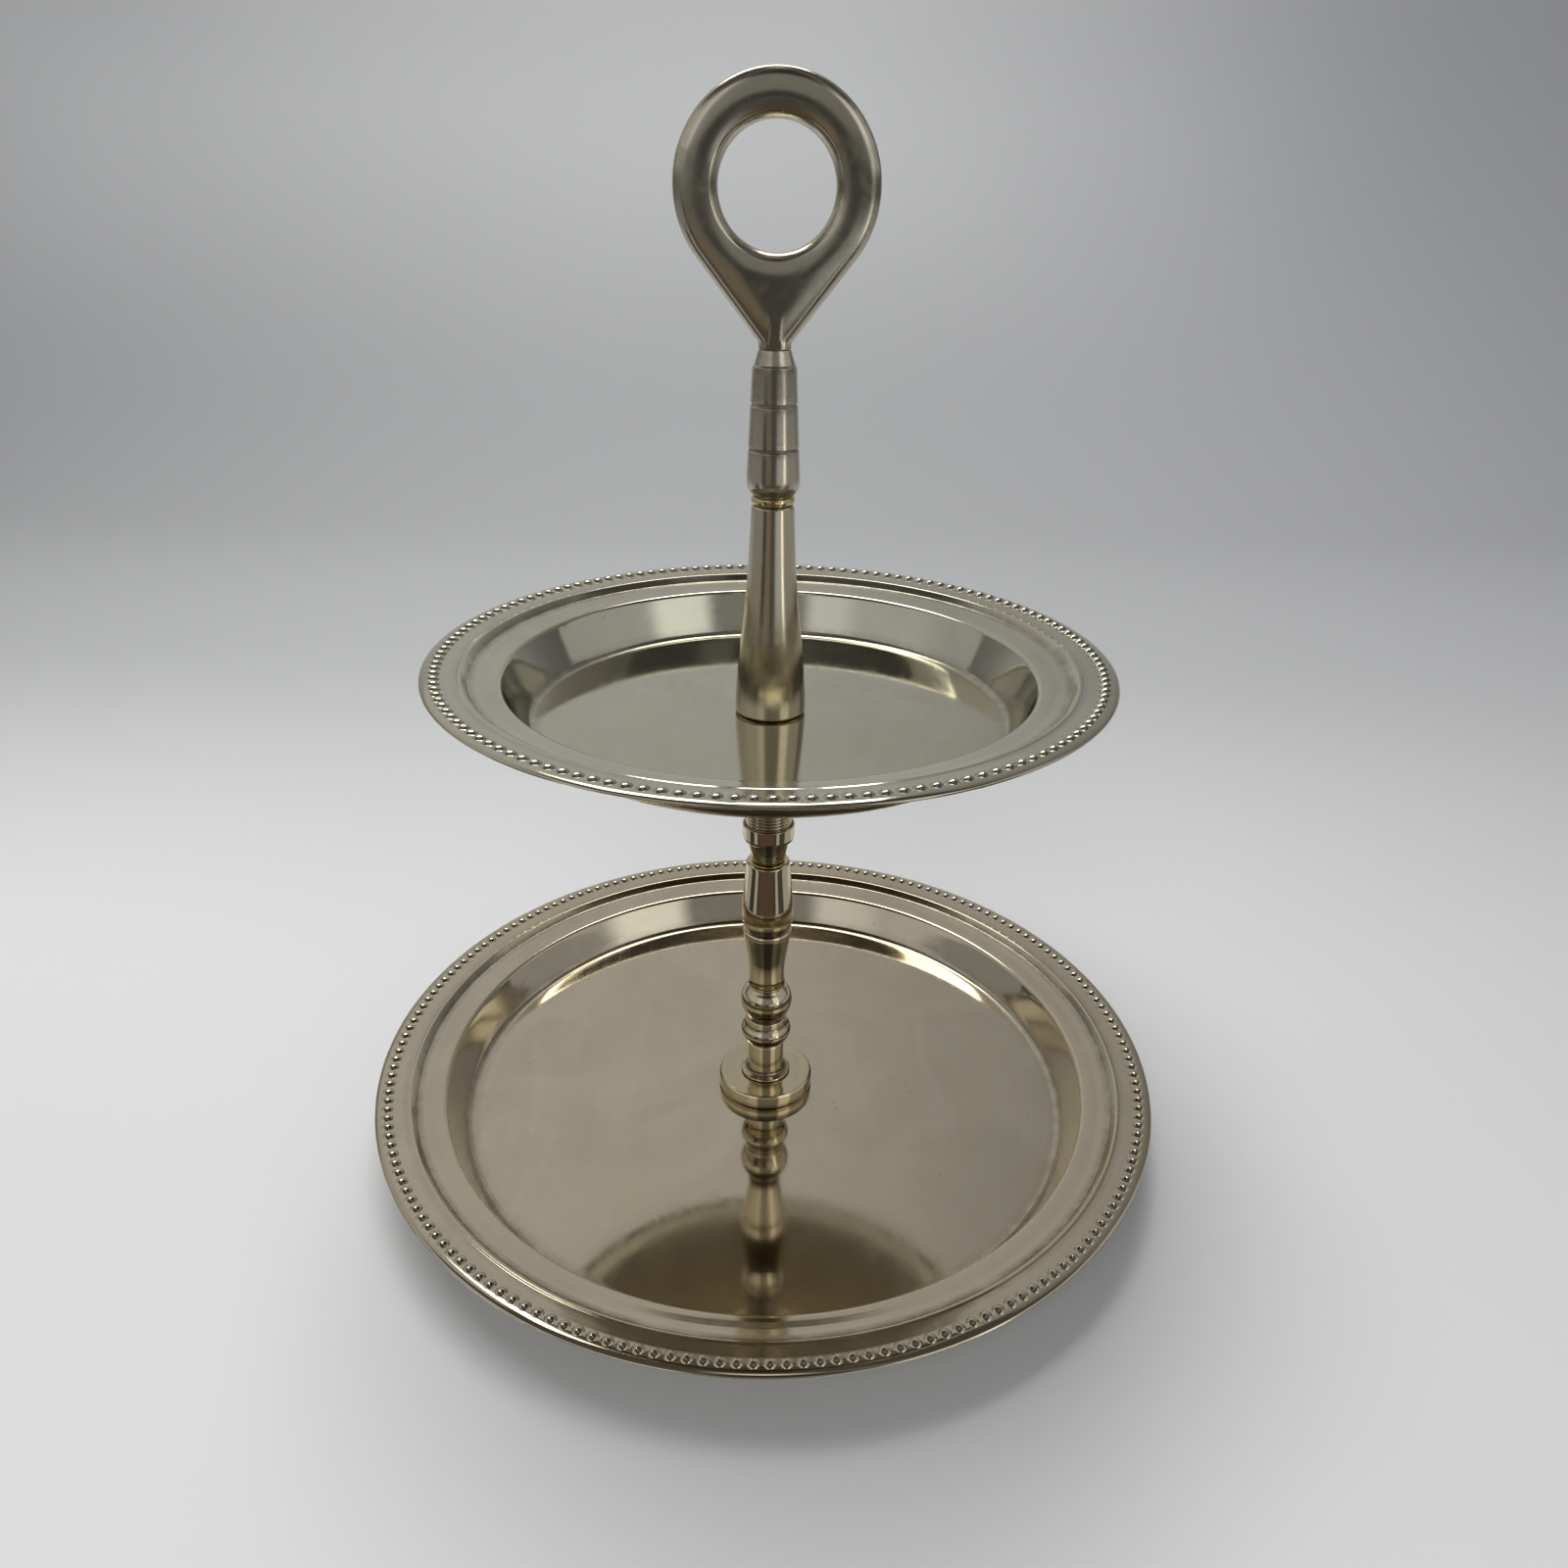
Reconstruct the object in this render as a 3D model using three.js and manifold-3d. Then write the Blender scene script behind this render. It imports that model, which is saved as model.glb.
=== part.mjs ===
// Two-tier cake stand: two beaded trays on a column of turned spacers, all held on one tie rod
// by a nut below and a ring handle that screws down on top. Millimetres, +Z up.
// The origin is on the stand's axis, on the surface that the foot pads stand on.

import * as THREE from 'three';
import { mergeVertices } from 'three/addons/utils/BufferGeometryUtils.js';
import Module from 'manifold-3d';

const wasm = await Module();
wasm.setup();

// ---------- driving dimensions ----------

// Fits
const seam = 0.2;                  // gap left between two faces that bear on each other
const rodClearance = 0.3;          // radial gap between the tie rod and every bore it passes
const spigotClearance = 0.3;       // radial gap of the ribbed spacer in its cup
const tangClearance = 0.15;        // radial gap of the handle ring's tang in the grip

// Trays
const sheet = 1.0;                 // thickness of the pressed sheet
const lowerTrayRadius = 130;
const lowerTrayDepth = 16.6;       // rim plane to floor
const lowerFloorFillet = 5.5;
const upperTrayRadius = 100;
const upperTrayDepth = 18.4;
const upperFloorFillet = 4.5;
const rollRadius = 1.15;           // rolled outer edge
const rollDrop = 0.65;             // roll centre below the rim plane
const beadRowInset = 3.4;          // bead row centre, in from the outer edge
const beadRadius = 1.6;
const beadDrop = 0.7;              // bead centres below the rim plane
const valleyDepth = 0.33;          // groove between the roll and the bead row
const valleyShare = 0.76;          // where that groove lies on the way from the roll to the bead row
const bandStep = 0.1;              // the plain band starts this much past and below the bead row
const plainBandWidth = 5.7;        // from the bead row's inner side to the small step
const stepWidth = 1.8;
const stepTopDrop = 1.2;
const stepFootDrop = 2.6;
const wideBandWidth = 8.8;         // from the foot of the step to the well's edge
const wideBandSag = 0.15;          // hollow of the wide band at its middle
const wellEdgeDrop = 4.3;
const edgeBreak = 1.0;             // width of the rounding between the wide band and the wall
const edgeBreakDrop = 0.7;         // height of that rounding
const wallAngle = THREE.MathUtils.degToRad(64);

// Foot pads
const padRadius = 6.5;
const padToe = 1.6;                // how far a pad's flat foot stands in from its side
const padHeel = 0.5;               // and how far its rounded heel does
const padHeelHeight = 1.2;
const padFloorMargin = 8.0;        // from a pad's side to the edge of the tray's flat floor
const padCount = 4;
const nutTableGap = 0.7;           // the nut and the rod's end clear the table by this much

// Tie rod and the fasteners under the lower tray
const rodRadius = 3;
const rodChamfer = 0.5;
const threadPitch = 1.0;
const threadTurns = 14;            // turns of thread that the grip holds
const bottomWasherRadius = 9;
const bottomWasherThickness = 1.0;
const lockWasherRadius = 5.4;
const lockWasherThickness = 1.2;
const lockWasherSplit = THREE.MathUtils.degToRad(14);
const nutAcrossFlats = 10;
const nutHeight = 3.0;

// Column, from the bottom up
const discRadius = 16.2;
const discHeight = 5.3;
const discEdge = 0.6;
const ferruleRadius = 6.2;
const ferruleHeight = 12.8;
const ferruleFootRadius = 8.6;
const ferruleFootHeight = 1.9;
const ferruleFootCurve = 0.7;      // the foot's flare, halfway down
const skirtBeadRadius = 8.55;
const skirtBeadHeight = 10.3;
const skirtNeckRadius = 7.0;
const roundBeadRadius = 8.75;
const roundBeadHeight = 12.4;
const roundBeadTopRadius = 6.2;
const roundBeadCore = 4.4;         // radius at which the ball's arc is centred
const vaseHeight = 22.6;
const vaseWaistRadius = 5.9;
const vaseTopRadius = 8.0;
const balusterHeight = 25.6;
const balusterTopRadius = 7.1;
const balusterRadius = 8.5;
const cupHeight = 13.4;
const cupWall = 0.55;              // thickness of the cup's rim
const cupRimHeight = 5.4;
const cupRimRound = 0.5;           // rounding under the rim, across and up
const cupRimRoundHeight = 1.2;
const cupThroatDrop = 0.6;         // from the rim's foot to the throat
const cupNeckRadius = 5.4;
const cupThroatRadius = 6.8;
const cupRecess = 3.0;             // depth that the ribbed spacer drops into the cup
const ribbedRadius = 7.45;
const ribbedHeight = 33.4;
const ribPitch = 2.2;
const ribDepth = 0.3;
const supportRadius = 16.2;
const supportHeight = 5.3;
const trayWasherRadius = 13;
const trayWasherThickness = 0.5;

// Sleeve, collar, grip and ring above the upper tray
const sleeveHeight = 61.5;
const sleeveFootRadius = 10.5;
const sleeveTopRadius = 6.0;
const sleeveFootLand = 3.3;        // width of the ring that the sleeve stands on
const footBreak = 0.5;             // rounded edge of the sleeve's foot
// The sleeve's flare: share of its height, and share of the foot's extra radius left there
const sleeveFlare = [[0.065, 0.967], [0.42, 0.556], [0.64, 0.311], [0.8, 0.133], [0.9, 0.044]];
const sleeveReliefDepth = 1.0;
const collarRadius = 6.15;
const collarHeight = 2.4;
const collarBreak = 0.4;
const gripHeight = 37.9;
const gripBottomRadius = 7.4;
const gripTopRadius = 5.95;
const gripBelly = 5.0;             // height of the grip's widest point
const gripDomeHeight = 3.9;
const gripDomeTopRadius = 4.5;
const grooveWidth = 0.9;
const grooveDepth = 0.5;
const grooveHeights = [12.6, 24.2];
const boreEndGap = 2.0;            // free bore past the end of the rod
const ringRadius = 26.05;
const ringHoleRadius = 14.8;
const ringThickness = 8.4;
const ringEdge = 2.1;              // rounding of the ring's edges
const ringNeckHalfWidth = 4.3;
const ringDrop = 37.7;             // ring centre above the foot of its neck
const flankAngle = THREE.MathUtils.degToRad(38.7);
const neckBlend = 2.6;             // rounding between the neck and a flank
const tangRadius = 3.0;
const tangLength = 10;
const tangOverlap = 6;             // length of the tang inside the casting

// Facets
const traySegments = 48;
const turnedSegments = 24;
const smallSegments = 16;

// ---------- materials ----------

const plate = { color: 0x9d9786, roughness: 0.25, metalness: 1.0 };
const brightPlate = { color: 0xa8a089, roughness: 0.15, metalness: 1.0 };
const brassTint = { color: 0xb39a5c, roughness: 0.2, metalness: 1.0 };
const steel = { color: 0x8c8c8a, roughness: 0.4, metalness: 1.0 };
const rubber = { color: 0x3a3a38, roughness: 0.8, metalness: 0.0 };
const fibre = { color: 0xb9ab8e, roughness: 0.9, metalness: 0.0 };

// ---------- helpers ----------

const stand = new THREE.Group();

function addPiece(name, geometry, finish, height = 0) {
  const mesh = new THREE.Mesh(geometry, new THREE.MeshStandardMaterial(finish));
  mesh.name = name;
  mesh.position.z = height;
  stand.add(mesh);
  return mesh;
}

// Points on an arc in the radius-height plane, both ends included; angles in degrees.
function arc(centreRadius, centreHeight, radius, fromDegrees, toDegrees, steps) {
  const points = [];
  for (let i = 0; i <= steps; i += 1) {
    const angle = THREE.MathUtils.degToRad(fromDegrees + ((toDegrees - fromDegrees) * i) / steps);
    points.push([centreRadius + radius * Math.cos(angle), centreHeight + radius * Math.sin(angle)]);
  }
  return points;
}

// A solid of revolution about Z. The outline runs anticlockwise in the radius-height plane,
// and it either closes on itself or starts and ends on the axis.
function turned(outline, segments = turnedSegments) {
  const points = outline.map(([radius, height]) => new THREE.Vector2(radius, height));
  const touchesAxis = outline[0][0] === 0;
  if (!touchesAxis) points.push(points[0].clone());
  const geometry = new THREE.LatheGeometry(points, segments);
  geometry.rotateX(Math.PI / 2);
  return geometry;
}

// A turned spacer: an outer outline from its bottom edge to its top edge, bored for the tie rod.
function spacer(outer, height, segments = turnedSegments) {
  const bore = rodRadius + rodClearance;
  return turned([[bore, 0], ...outer, [bore, height]], segments);
}

function ring(innerRadius, outerRadius, height, segments = turnedSegments) {
  return turned([[innerRadius, 0], [outerRadius, 0], [outerRadius, height], [innerRadius, height]], segments);
}

function toSolid(geometry) {
  const bare = geometry.clone();
  bare.deleteAttribute('normal');
  bare.deleteAttribute('uv');
  const merged = mergeVertices(bare, 1e-4);
  const vertProperties = new Float32Array(merged.attributes.position.array);
  const triVerts = new Uint32Array(merged.index.array);
  return new wasm.Manifold(new wasm.Mesh({ numProp: 3, vertProperties, triVerts }));
}

function toGeometry(solid) {
  const mesh = solid.getMesh();
  const geometry = new THREE.BufferGeometry();
  geometry.setAttribute('position', new THREE.BufferAttribute(mesh.vertProperties, 3));
  geometry.setIndex(new THREE.BufferAttribute(mesh.triVerts, 1));
  geometry.computeVertexNormals();
  return geometry;
}

// ---------- trays ----------

const bandEdgeInset = beadRowInset + beadRadius + bandStep;
const wellEdgeInset = bandEdgeInset + plainBandWidth + stepWidth + wideBandWidth;
const wallTopDrop = wellEdgeDrop + edgeBreakDrop;

// Radius and height of the end of the wall and of the centre of the fillet at its foot, both
// measured above the floor's upper face.
function wallFoot(rimRadius, depth, filletRadius) {
  const topRadius = rimRadius - wellEdgeInset - edgeBreak;
  const filletTop = filletRadius * (1 - Math.cos(wallAngle));
  const footRadius = topRadius - (depth - wallTopDrop - filletTop) / Math.tan(wallAngle);
  return { topRadius, centreRadius: footRadius - filletRadius * Math.sin(wallAngle) };
}

// A tray's wall from its top edge, round the fillet and on to the flat floor. The two faces of
// the sheet share the fillet's centre.
function wallPoints(rimRadius, depth, filletRadius, outset) {
  const { topRadius, centreRadius } = wallFoot(rimRadius, depth, filletRadius);
  const wallTop = [
    topRadius + outset * Math.sin(wallAngle),
    sheet + depth - wallTopDrop - outset * Math.cos(wallAngle),
  ];
  const wallDegrees = THREE.MathUtils.radToDeg(wallAngle) - 90;
  const fillet = arc(centreRadius, sheet + filletRadius, filletRadius + outset, wallDegrees, -90, 2);
  return [wallTop, ...fillet];
}

// One pressed tray, standing on z = 0 with its floor's upper face at z = sheet.
function trayGeometry(rimRadius, depth, filletRadius) {
  const hole = rodRadius + rodClearance;
  const rim = sheet + depth;
  const rollCentre = [rimRadius - rollRadius, rim - rollDrop];
  const roll = [...arc(...rollCentre, rollRadius, -100, 0, 2), ...arc(...rollCentre, rollRadius, 45, 90, 1)];
  const beadRow = arc(rimRadius - beadRowInset, rim - beadDrop, beadRadius, 45, 135, 2);
  const [beadFlankRadius, beadFlankHeight] = beadRow[0];
  const valleyRadius = THREE.MathUtils.lerp(rollCentre[0], beadFlankRadius, valleyShare);
  const valley = [valleyRadius, beadFlankHeight - valleyDepth];
  const bandEdge = [rimRadius - bandEdgeInset, rim - beadDrop - bandStep];
  const stepTop = [bandEdge[0] - plainBandWidth, rim - stepTopDrop];
  const stepFoot = [stepTop[0] - stepWidth, rim - stepFootDrop];
  const wellEdge = [stepFoot[0] - wideBandWidth, rim - wellEdgeDrop];
  const bandMiddle = [(stepFoot[0] + wellEdge[0]) / 2, (stepFoot[1] + wellEdge[1]) / 2 - wideBandSag];
  const rimPoints = [...roll, valley, ...beadRow, bandEdge, stepTop, stepFoot, bandMiddle, wellEdge];
  const upper = [...rimPoints, ...wallPoints(rimRadius, depth, filletRadius, 0)];

  // The underside follows the upper face one sheet thickness below it.
  const below = (point) => [point[0], point[1] - sheet];
  const under = [
    ...wallPoints(rimRadius, depth, filletRadius, sheet).reverse(),
    below(wellEdge),
    below(stepFoot),
    below(stepTop),
    [rimRadius - 2 * rollRadius, rim - beadDrop - sheet],
  ];
  return turned([[hole, 0], ...under, ...upper, [hole, sheet]], traySegments);
}

// ---------- under the lower tray ----------

// The pads are just tall enough for the fasteners between the tray and the table.
const nutBase = nutTableGap;
const lockWasherBase = nutBase + nutHeight + seam;
const bottomWasherBase = lockWasherBase + lockWasherThickness + seam;
const lowerTrayBase = bottomWasherBase + bottomWasherThickness + seam;
const padHeight = lowerTrayBase - seam;

const lowerFloorRadius = wallFoot(lowerTrayRadius, lowerTrayDepth, lowerFloorFillet).centreRadius;
const padCircleRadius = lowerFloorRadius - padFloorMargin - padRadius;

for (let i = 0; i < padCount; i += 1) {
  const angle = Math.PI / padCount + (i * 2 * Math.PI) / padCount;
  const outline = [
    [0, 0],
    [padRadius - padToe, 0],
    [padRadius - padHeel, padHeelHeight],
    [padRadius, padHeight],
    [0, padHeight],
  ];
  const pad = addPiece(`foot_pad_${i + 1}`, turned(outline, smallSegments), rubber);
  pad.position.x = padCircleRadius * Math.cos(angle);
  pad.position.y = padCircleRadius * Math.sin(angle);
}

addPiece('bottom_washer', ring(rodRadius + rodClearance, bottomWasherRadius, bottomWasherThickness), steel,
  bottomWasherBase);

function lockWasherGeometry() {
  const inner = rodRadius + rodClearance;
  const shape = new THREE.Shape();
  shape.absarc(0, 0, lockWasherRadius, lockWasherSplit / 2, 2 * Math.PI - lockWasherSplit / 2, false);
  shape.absarc(0, 0, inner, 2 * Math.PI - lockWasherSplit / 2, lockWasherSplit / 2, true);
  return new THREE.ExtrudeGeometry(shape, {
    depth: lockWasherThickness, bevelEnabled: false, curveSegments: 10,
  });
}
addPiece('lock_washer', lockWasherGeometry(), steel, lockWasherBase);

function nutGeometry() {
  const cornerRadius = nutAcrossFlats / 2 / Math.cos(Math.PI / 6);
  const shape = new THREE.Shape();
  for (let i = 0; i < 6; i += 1) {
    const x = cornerRadius * Math.cos((i * Math.PI) / 3);
    const y = cornerRadius * Math.sin((i * Math.PI) / 3);
    if (i === 0) shape.moveTo(x, y);
    else shape.lineTo(x, y);
  }
  shape.closePath();
  const hole = new THREE.Path();
  hole.absarc(0, 0, rodRadius + rodClearance, 0, 2 * Math.PI, true);
  shape.holes.push(hole);
  return new THREE.ExtrudeGeometry(shape, { depth: nutHeight, bevelEnabled: false, curveSegments: 8 });
}
addPiece('rod_nut', nutGeometry(), steel, nutBase);

addPiece('lower_tray', trayGeometry(lowerTrayRadius, lowerTrayDepth, lowerFloorFillet), plate, lowerTrayBase);

// ---------- column ----------

// Each spacer stands on the one below it, one seam above its top.
let stackTop = lowerTrayBase + sheet;

function stackPiece(name, geometry, finish, height, sinksIn = 0) {
  const base = stackTop + seam - sinksIn;
  addPiece(name, geometry, finish, base);
  stackTop = base + height;
  return base;
}

stackPiece('base_disc', spacer([
  [discRadius, 0],
  [discRadius, discHeight - discEdge],
  [discRadius - discEdge, discHeight],
], discHeight), brightPlate, discHeight);

stackPiece('column_ferrule', spacer([
  [ferruleFootRadius, 0],
  [ferruleRadius + ferruleFootCurve, 0.4 * ferruleFootHeight],
  [ferruleRadius, ferruleFootHeight],
  [ferruleRadius, ferruleHeight],
], ferruleHeight), brightPlate, ferruleHeight);

stackPiece('skirted_bead', spacer([
  [ferruleRadius + 0.3, 0],
  [skirtBeadRadius - 0.7, 0.16 * skirtBeadHeight],
  [skirtBeadRadius, 0.42 * skirtBeadHeight],
  [skirtBeadRadius - 0.3, 0.56 * skirtBeadHeight],
  [skirtNeckRadius, 0.75 * skirtBeadHeight],
  [skirtNeckRadius, skirtBeadHeight],
], skirtBeadHeight), brightPlate, skirtBeadHeight);

const roundBeadMiddle = 0.52 * roundBeadHeight;
const roundBeadBulge = roundBeadRadius - roundBeadCore;
stackPiece('round_bead', spacer([
  [skirtNeckRadius - 0.1, 0],
  ...arc(roundBeadCore, roundBeadMiddle, roundBeadBulge, -54, 54, 4),
  [roundBeadTopRadius, roundBeadHeight],
], roundBeadHeight), brightPlate, roundBeadHeight);

stackPiece('vase_spacer', spacer([
  [vaseWaistRadius + 0.4, 0],
  [vaseWaistRadius, 0.13 * vaseHeight],
  [vaseWaistRadius + 0.15, 0.33 * vaseHeight],
  [vaseWaistRadius + 0.8, 0.52 * vaseHeight],
  [vaseTopRadius - 0.5, 0.77 * vaseHeight],
  [vaseTopRadius, 0.95 * vaseHeight],
  [vaseTopRadius - 0.3, vaseHeight],
], vaseHeight), brightPlate, vaseHeight);

stackPiece('baluster', spacer([
  [balusterRadius - 0.9, 0],
  [balusterRadius - 0.25, 0.08 * balusterHeight],
  [balusterRadius, 0.22 * balusterHeight],
  [balusterRadius - 0.15, 0.38 * balusterHeight],
  [balusterTopRadius + 0.5, 0.65 * balusterHeight],
  [balusterTopRadius + 0.05, 0.9 * balusterHeight],
  [balusterTopRadius - 0.6, balusterHeight],
], balusterHeight), brightPlate, balusterHeight);

const cupWellRadius = ribbedRadius + spigotClearance;
const cupRimRadius = cupWellRadius + cupWall;
const cupOutline = [
  [rodRadius + rodClearance, 0],
  [cupNeckRadius, 0],
  [cupThroatRadius, cupHeight - cupRimHeight - cupThroatDrop],
  [cupRimRadius - cupRimRound, cupHeight - cupRimHeight],
  [cupRimRadius, cupHeight - cupRimHeight + cupRimRoundHeight],
  [cupRimRadius, cupHeight],
  [cupWellRadius, cupHeight],
  [cupWellRadius, cupHeight - cupRecess],
  [rodRadius + rodClearance, cupHeight - cupRecess],
];
stackPiece('cup_collar', turned(cupOutline), brightPlate, cupHeight);

// Fine turned rings run all the way up the spacer between the cup and the tray support.
function ribbedOutline() {
  const ribs = Math.floor((ribbedHeight - 1) / ribPitch);
  const points = [[ribbedRadius - ribDepth, 0]];
  for (let i = 0; i < ribs; i += 1) {
    points.push([ribbedRadius, (i + 0.5) * ribPitch]);
    points.push([ribbedRadius - ribDepth, (i + 1) * ribPitch]);
  }
  points.push([ribbedRadius - ribDepth, ribbedHeight]);
  return points;
}
stackPiece('ribbed_spacer', spacer(ribbedOutline(), ribbedHeight, smallSegments), brightPlate, ribbedHeight,
  cupRecess);

stackPiece('tray_support', spacer([
  [supportRadius - discEdge, 0],
  [supportRadius, discEdge],
  [supportRadius, supportHeight],
], supportHeight), brightPlate, supportHeight);

stackPiece('tray_washer', ring(rodRadius + rodClearance, trayWasherRadius, trayWasherThickness), fibre,
  trayWasherThickness);

// ---------- upper tray ----------

const upperTrayBase = stackTop + seam;
addPiece('upper_tray', trayGeometry(upperTrayRadius, upperTrayDepth, upperFloorFillet), plate, upperTrayBase);
stackTop = upperTrayBase + sheet;

// ---------- sleeve, collar, grip and ring ----------

const rodBore = rodRadius + rodClearance;
const sleeveReliefRadius = sleeveFootRadius - sleeveFootLand;
const flareAt = ([heightShare, flareShare]) => [
  sleeveTopRadius + flareShare * (sleeveFootRadius - sleeveTopRadius),
  heightShare * sleeveHeight,
];
const sleeveOutline = [
  [rodBore, sleeveReliefDepth],
  [sleeveReliefRadius, sleeveReliefDepth],
  [sleeveReliefRadius, 0],
  [sleeveFootRadius - footBreak, 0],
  [sleeveFootRadius, footBreak],
  ...sleeveFlare.map(flareAt),
  [sleeveTopRadius, sleeveHeight],
  [rodBore, sleeveHeight],
];
stackPiece('tapered_sleeve', turned(sleeveOutline), plate, sleeveHeight);

const collarOutline = [
  [rodBore, 0],
  [collarRadius - collarBreak, 0],
  [collarRadius, 0.3 * collarHeight],
  [collarRadius, 0.7 * collarHeight],
  [collarRadius - collarBreak, collarHeight],
  [rodBore, collarHeight],
];
stackPiece('collar_ring', turned(collarOutline), brassTint, collarHeight);

const rodHold = threadPitch * threadTurns;

function gripGeometry() {
  const shoulder = gripHeight - gripDomeHeight;
  const taper = (gripBottomRadius - gripTopRadius) / (shoulder - gripBelly);
  const radiusAt = (height) => gripBottomRadius - taper * (height - gripBelly);
  const grooves = grooveHeights.flatMap((height) => [
    [radiusAt(height - grooveWidth / 2), height - grooveWidth / 2],
    [radiusAt(height) - grooveDepth, height],
    [radiusAt(height + grooveWidth / 2), height + grooveWidth / 2],
  ]);
  const tangBore = tangRadius + tangClearance;
  const mouthFlare = gripBottomRadius - collarRadius;
  const domeTaper = gripTopRadius - gripDomeTopRadius;
  return turned([
    [0, rodHold + boreEndGap],
    [rodBore, rodHold + boreEndGap],
    [rodBore, 0],
    [collarRadius, 0],
    [gripBottomRadius - 0.32 * mouthFlare, 0.24 * gripBelly],
    [gripBottomRadius - 0.04 * mouthFlare, 0.58 * gripBelly],
    [gripBottomRadius, gripBelly],
    ...grooves,
    [gripTopRadius, shoulder],
    [gripTopRadius - 0.4 * domeTaper, shoulder + 0.15 * gripDomeHeight],
    [gripDomeTopRadius + 0.2 * domeTaper, gripHeight - 0.25 * gripDomeHeight],
    [gripDomeTopRadius, gripHeight],
    [tangBore, gripHeight],
    [tangBore, gripHeight - tangLength - boreEndGap],
    [0, gripHeight - tangLength - boreEndGap],
  ]);
}
const gripBase = stackPiece('handle_grip', gripGeometry(), plate, gripHeight);

// The ring handle is a flat casting: a round ring whose flanks run straight and tangent to it
// down to a narrow neck, with a round tang that drops into the grip.
function ringOutline() {
  const shape = new THREE.Shape();
  const tangentX = ringRadius * Math.cos(flankAngle);
  const tangentY = -ringRadius * Math.sin(flankAngle);
  const flankRun = (tangentX - ringNeckHalfWidth) / Math.tan(flankAngle);
  const neckTop = tangentY - flankRun;
  const blendX = neckBlend * Math.sin(flankAngle);
  const blendY = neckBlend * Math.cos(flankAngle);
  shape.moveTo(-ringNeckHalfWidth, -ringDrop);
  shape.lineTo(ringNeckHalfWidth, -ringDrop);
  shape.lineTo(ringNeckHalfWidth, neckTop - 0.5 * neckBlend);
  shape.quadraticCurveTo(ringNeckHalfWidth, neckTop, ringNeckHalfWidth + blendX, neckTop + blendY);
  shape.lineTo(tangentX, tangentY);
  shape.absarc(0, 0, ringRadius, -flankAngle, Math.PI + flankAngle, false);
  shape.lineTo(-ringNeckHalfWidth - blendX, neckTop + blendY);
  shape.quadraticCurveTo(-ringNeckHalfWidth, neckTop, -ringNeckHalfWidth, neckTop - 0.5 * neckBlend);
  shape.closePath();
  const hole = new THREE.Path();
  hole.absarc(0, 0, ringHoleRadius, 0, 2 * Math.PI, true);
  shape.holes.push(hole);
  return shape;
}

function ringHandleGeometry() {
  const casting = new THREE.ExtrudeGeometry(ringOutline(), {
    depth: ringThickness - 2 * ringEdge,
    bevelEnabled: true,
    bevelThickness: ringEdge,
    bevelSize: ringEdge,
    bevelOffset: -ringEdge,
    bevelSegments: 2,
    curveSegments: 12,
  });
  casting.translate(0, ringDrop, -(ringThickness - 2 * ringEdge) / 2);
  casting.rotateX(Math.PI / 2);
  const tang = turned([
    [0, -tangLength],
    [tangRadius - rodChamfer, -tangLength],
    [tangRadius, rodChamfer - tangLength],
    [tangRadius, tangOverlap],
    [0, tangOverlap],
  ], smallSegments);
  return toGeometry(toSolid(casting).add(toSolid(tang)));
}
stackPiece('ring_handle', ringHandleGeometry(), plate, ringDrop + ringRadius);

// ---------- tie rod ----------

const rodTop = gripBase + rodHold;
const rodOutline = [
  [0, nutBase],
  [rodRadius - rodChamfer, nutBase],
  [rodRadius, nutBase + rodChamfer],
  [rodRadius, rodTop - rodChamfer],
  [rodRadius - rodChamfer, rodTop],
  [0, rodTop],
];
addPiece('tie_rod', turned(rodOutline, smallSegments), steel);

export default stand;
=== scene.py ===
import math

import bpy
import numpy as np
from mathutils import Matrix, Vector


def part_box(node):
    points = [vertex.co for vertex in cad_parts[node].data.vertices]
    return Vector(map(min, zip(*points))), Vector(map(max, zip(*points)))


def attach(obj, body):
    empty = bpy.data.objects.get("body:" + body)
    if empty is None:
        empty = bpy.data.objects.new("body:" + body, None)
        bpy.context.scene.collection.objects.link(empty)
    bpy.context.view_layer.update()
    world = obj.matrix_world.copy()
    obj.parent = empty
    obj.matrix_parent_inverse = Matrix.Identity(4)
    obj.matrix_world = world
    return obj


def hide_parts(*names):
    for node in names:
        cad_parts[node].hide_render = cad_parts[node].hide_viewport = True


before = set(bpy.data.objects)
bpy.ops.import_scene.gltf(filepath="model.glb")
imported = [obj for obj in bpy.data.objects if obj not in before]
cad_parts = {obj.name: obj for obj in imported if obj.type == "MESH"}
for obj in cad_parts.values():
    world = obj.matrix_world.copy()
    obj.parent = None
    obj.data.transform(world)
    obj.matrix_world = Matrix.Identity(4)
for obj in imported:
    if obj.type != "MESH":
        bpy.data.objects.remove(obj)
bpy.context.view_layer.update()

MM = 0.001                           # outlines are in millimetres, the frame is in metres
FULL_TURN = 2 * math.pi
scene = bpy.context.scene

# ---------- outlines, in millimetres, in the radius-height plane ----------

LONGEST_RUN = 0.49                   # the share of a side that one fillet may take
STRAIGHT, FOLDED = 1.565, 0.01       # half a corner's angle, in radians; past these the corner stays as it is
PARALLEL = 1e-6                      # two sides with a smaller sine between them count as parallel
LEAST_FILLET = 0.15
FULL_BEND = 0.8                      # the bend, in radians, that fills an edge or crease mask
TINY, SAME_POINT = 1e-6, 1e-4


def arc(r, z, radius, start, end, steps):
    """Points on an arc about (r, z), both ends included; angles in degrees."""
    angles = np.radians(np.linspace(start, end, steps + 1))
    return [(r + radius * math.cos(a), z + radius * math.sin(a)) for a in angles]


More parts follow.
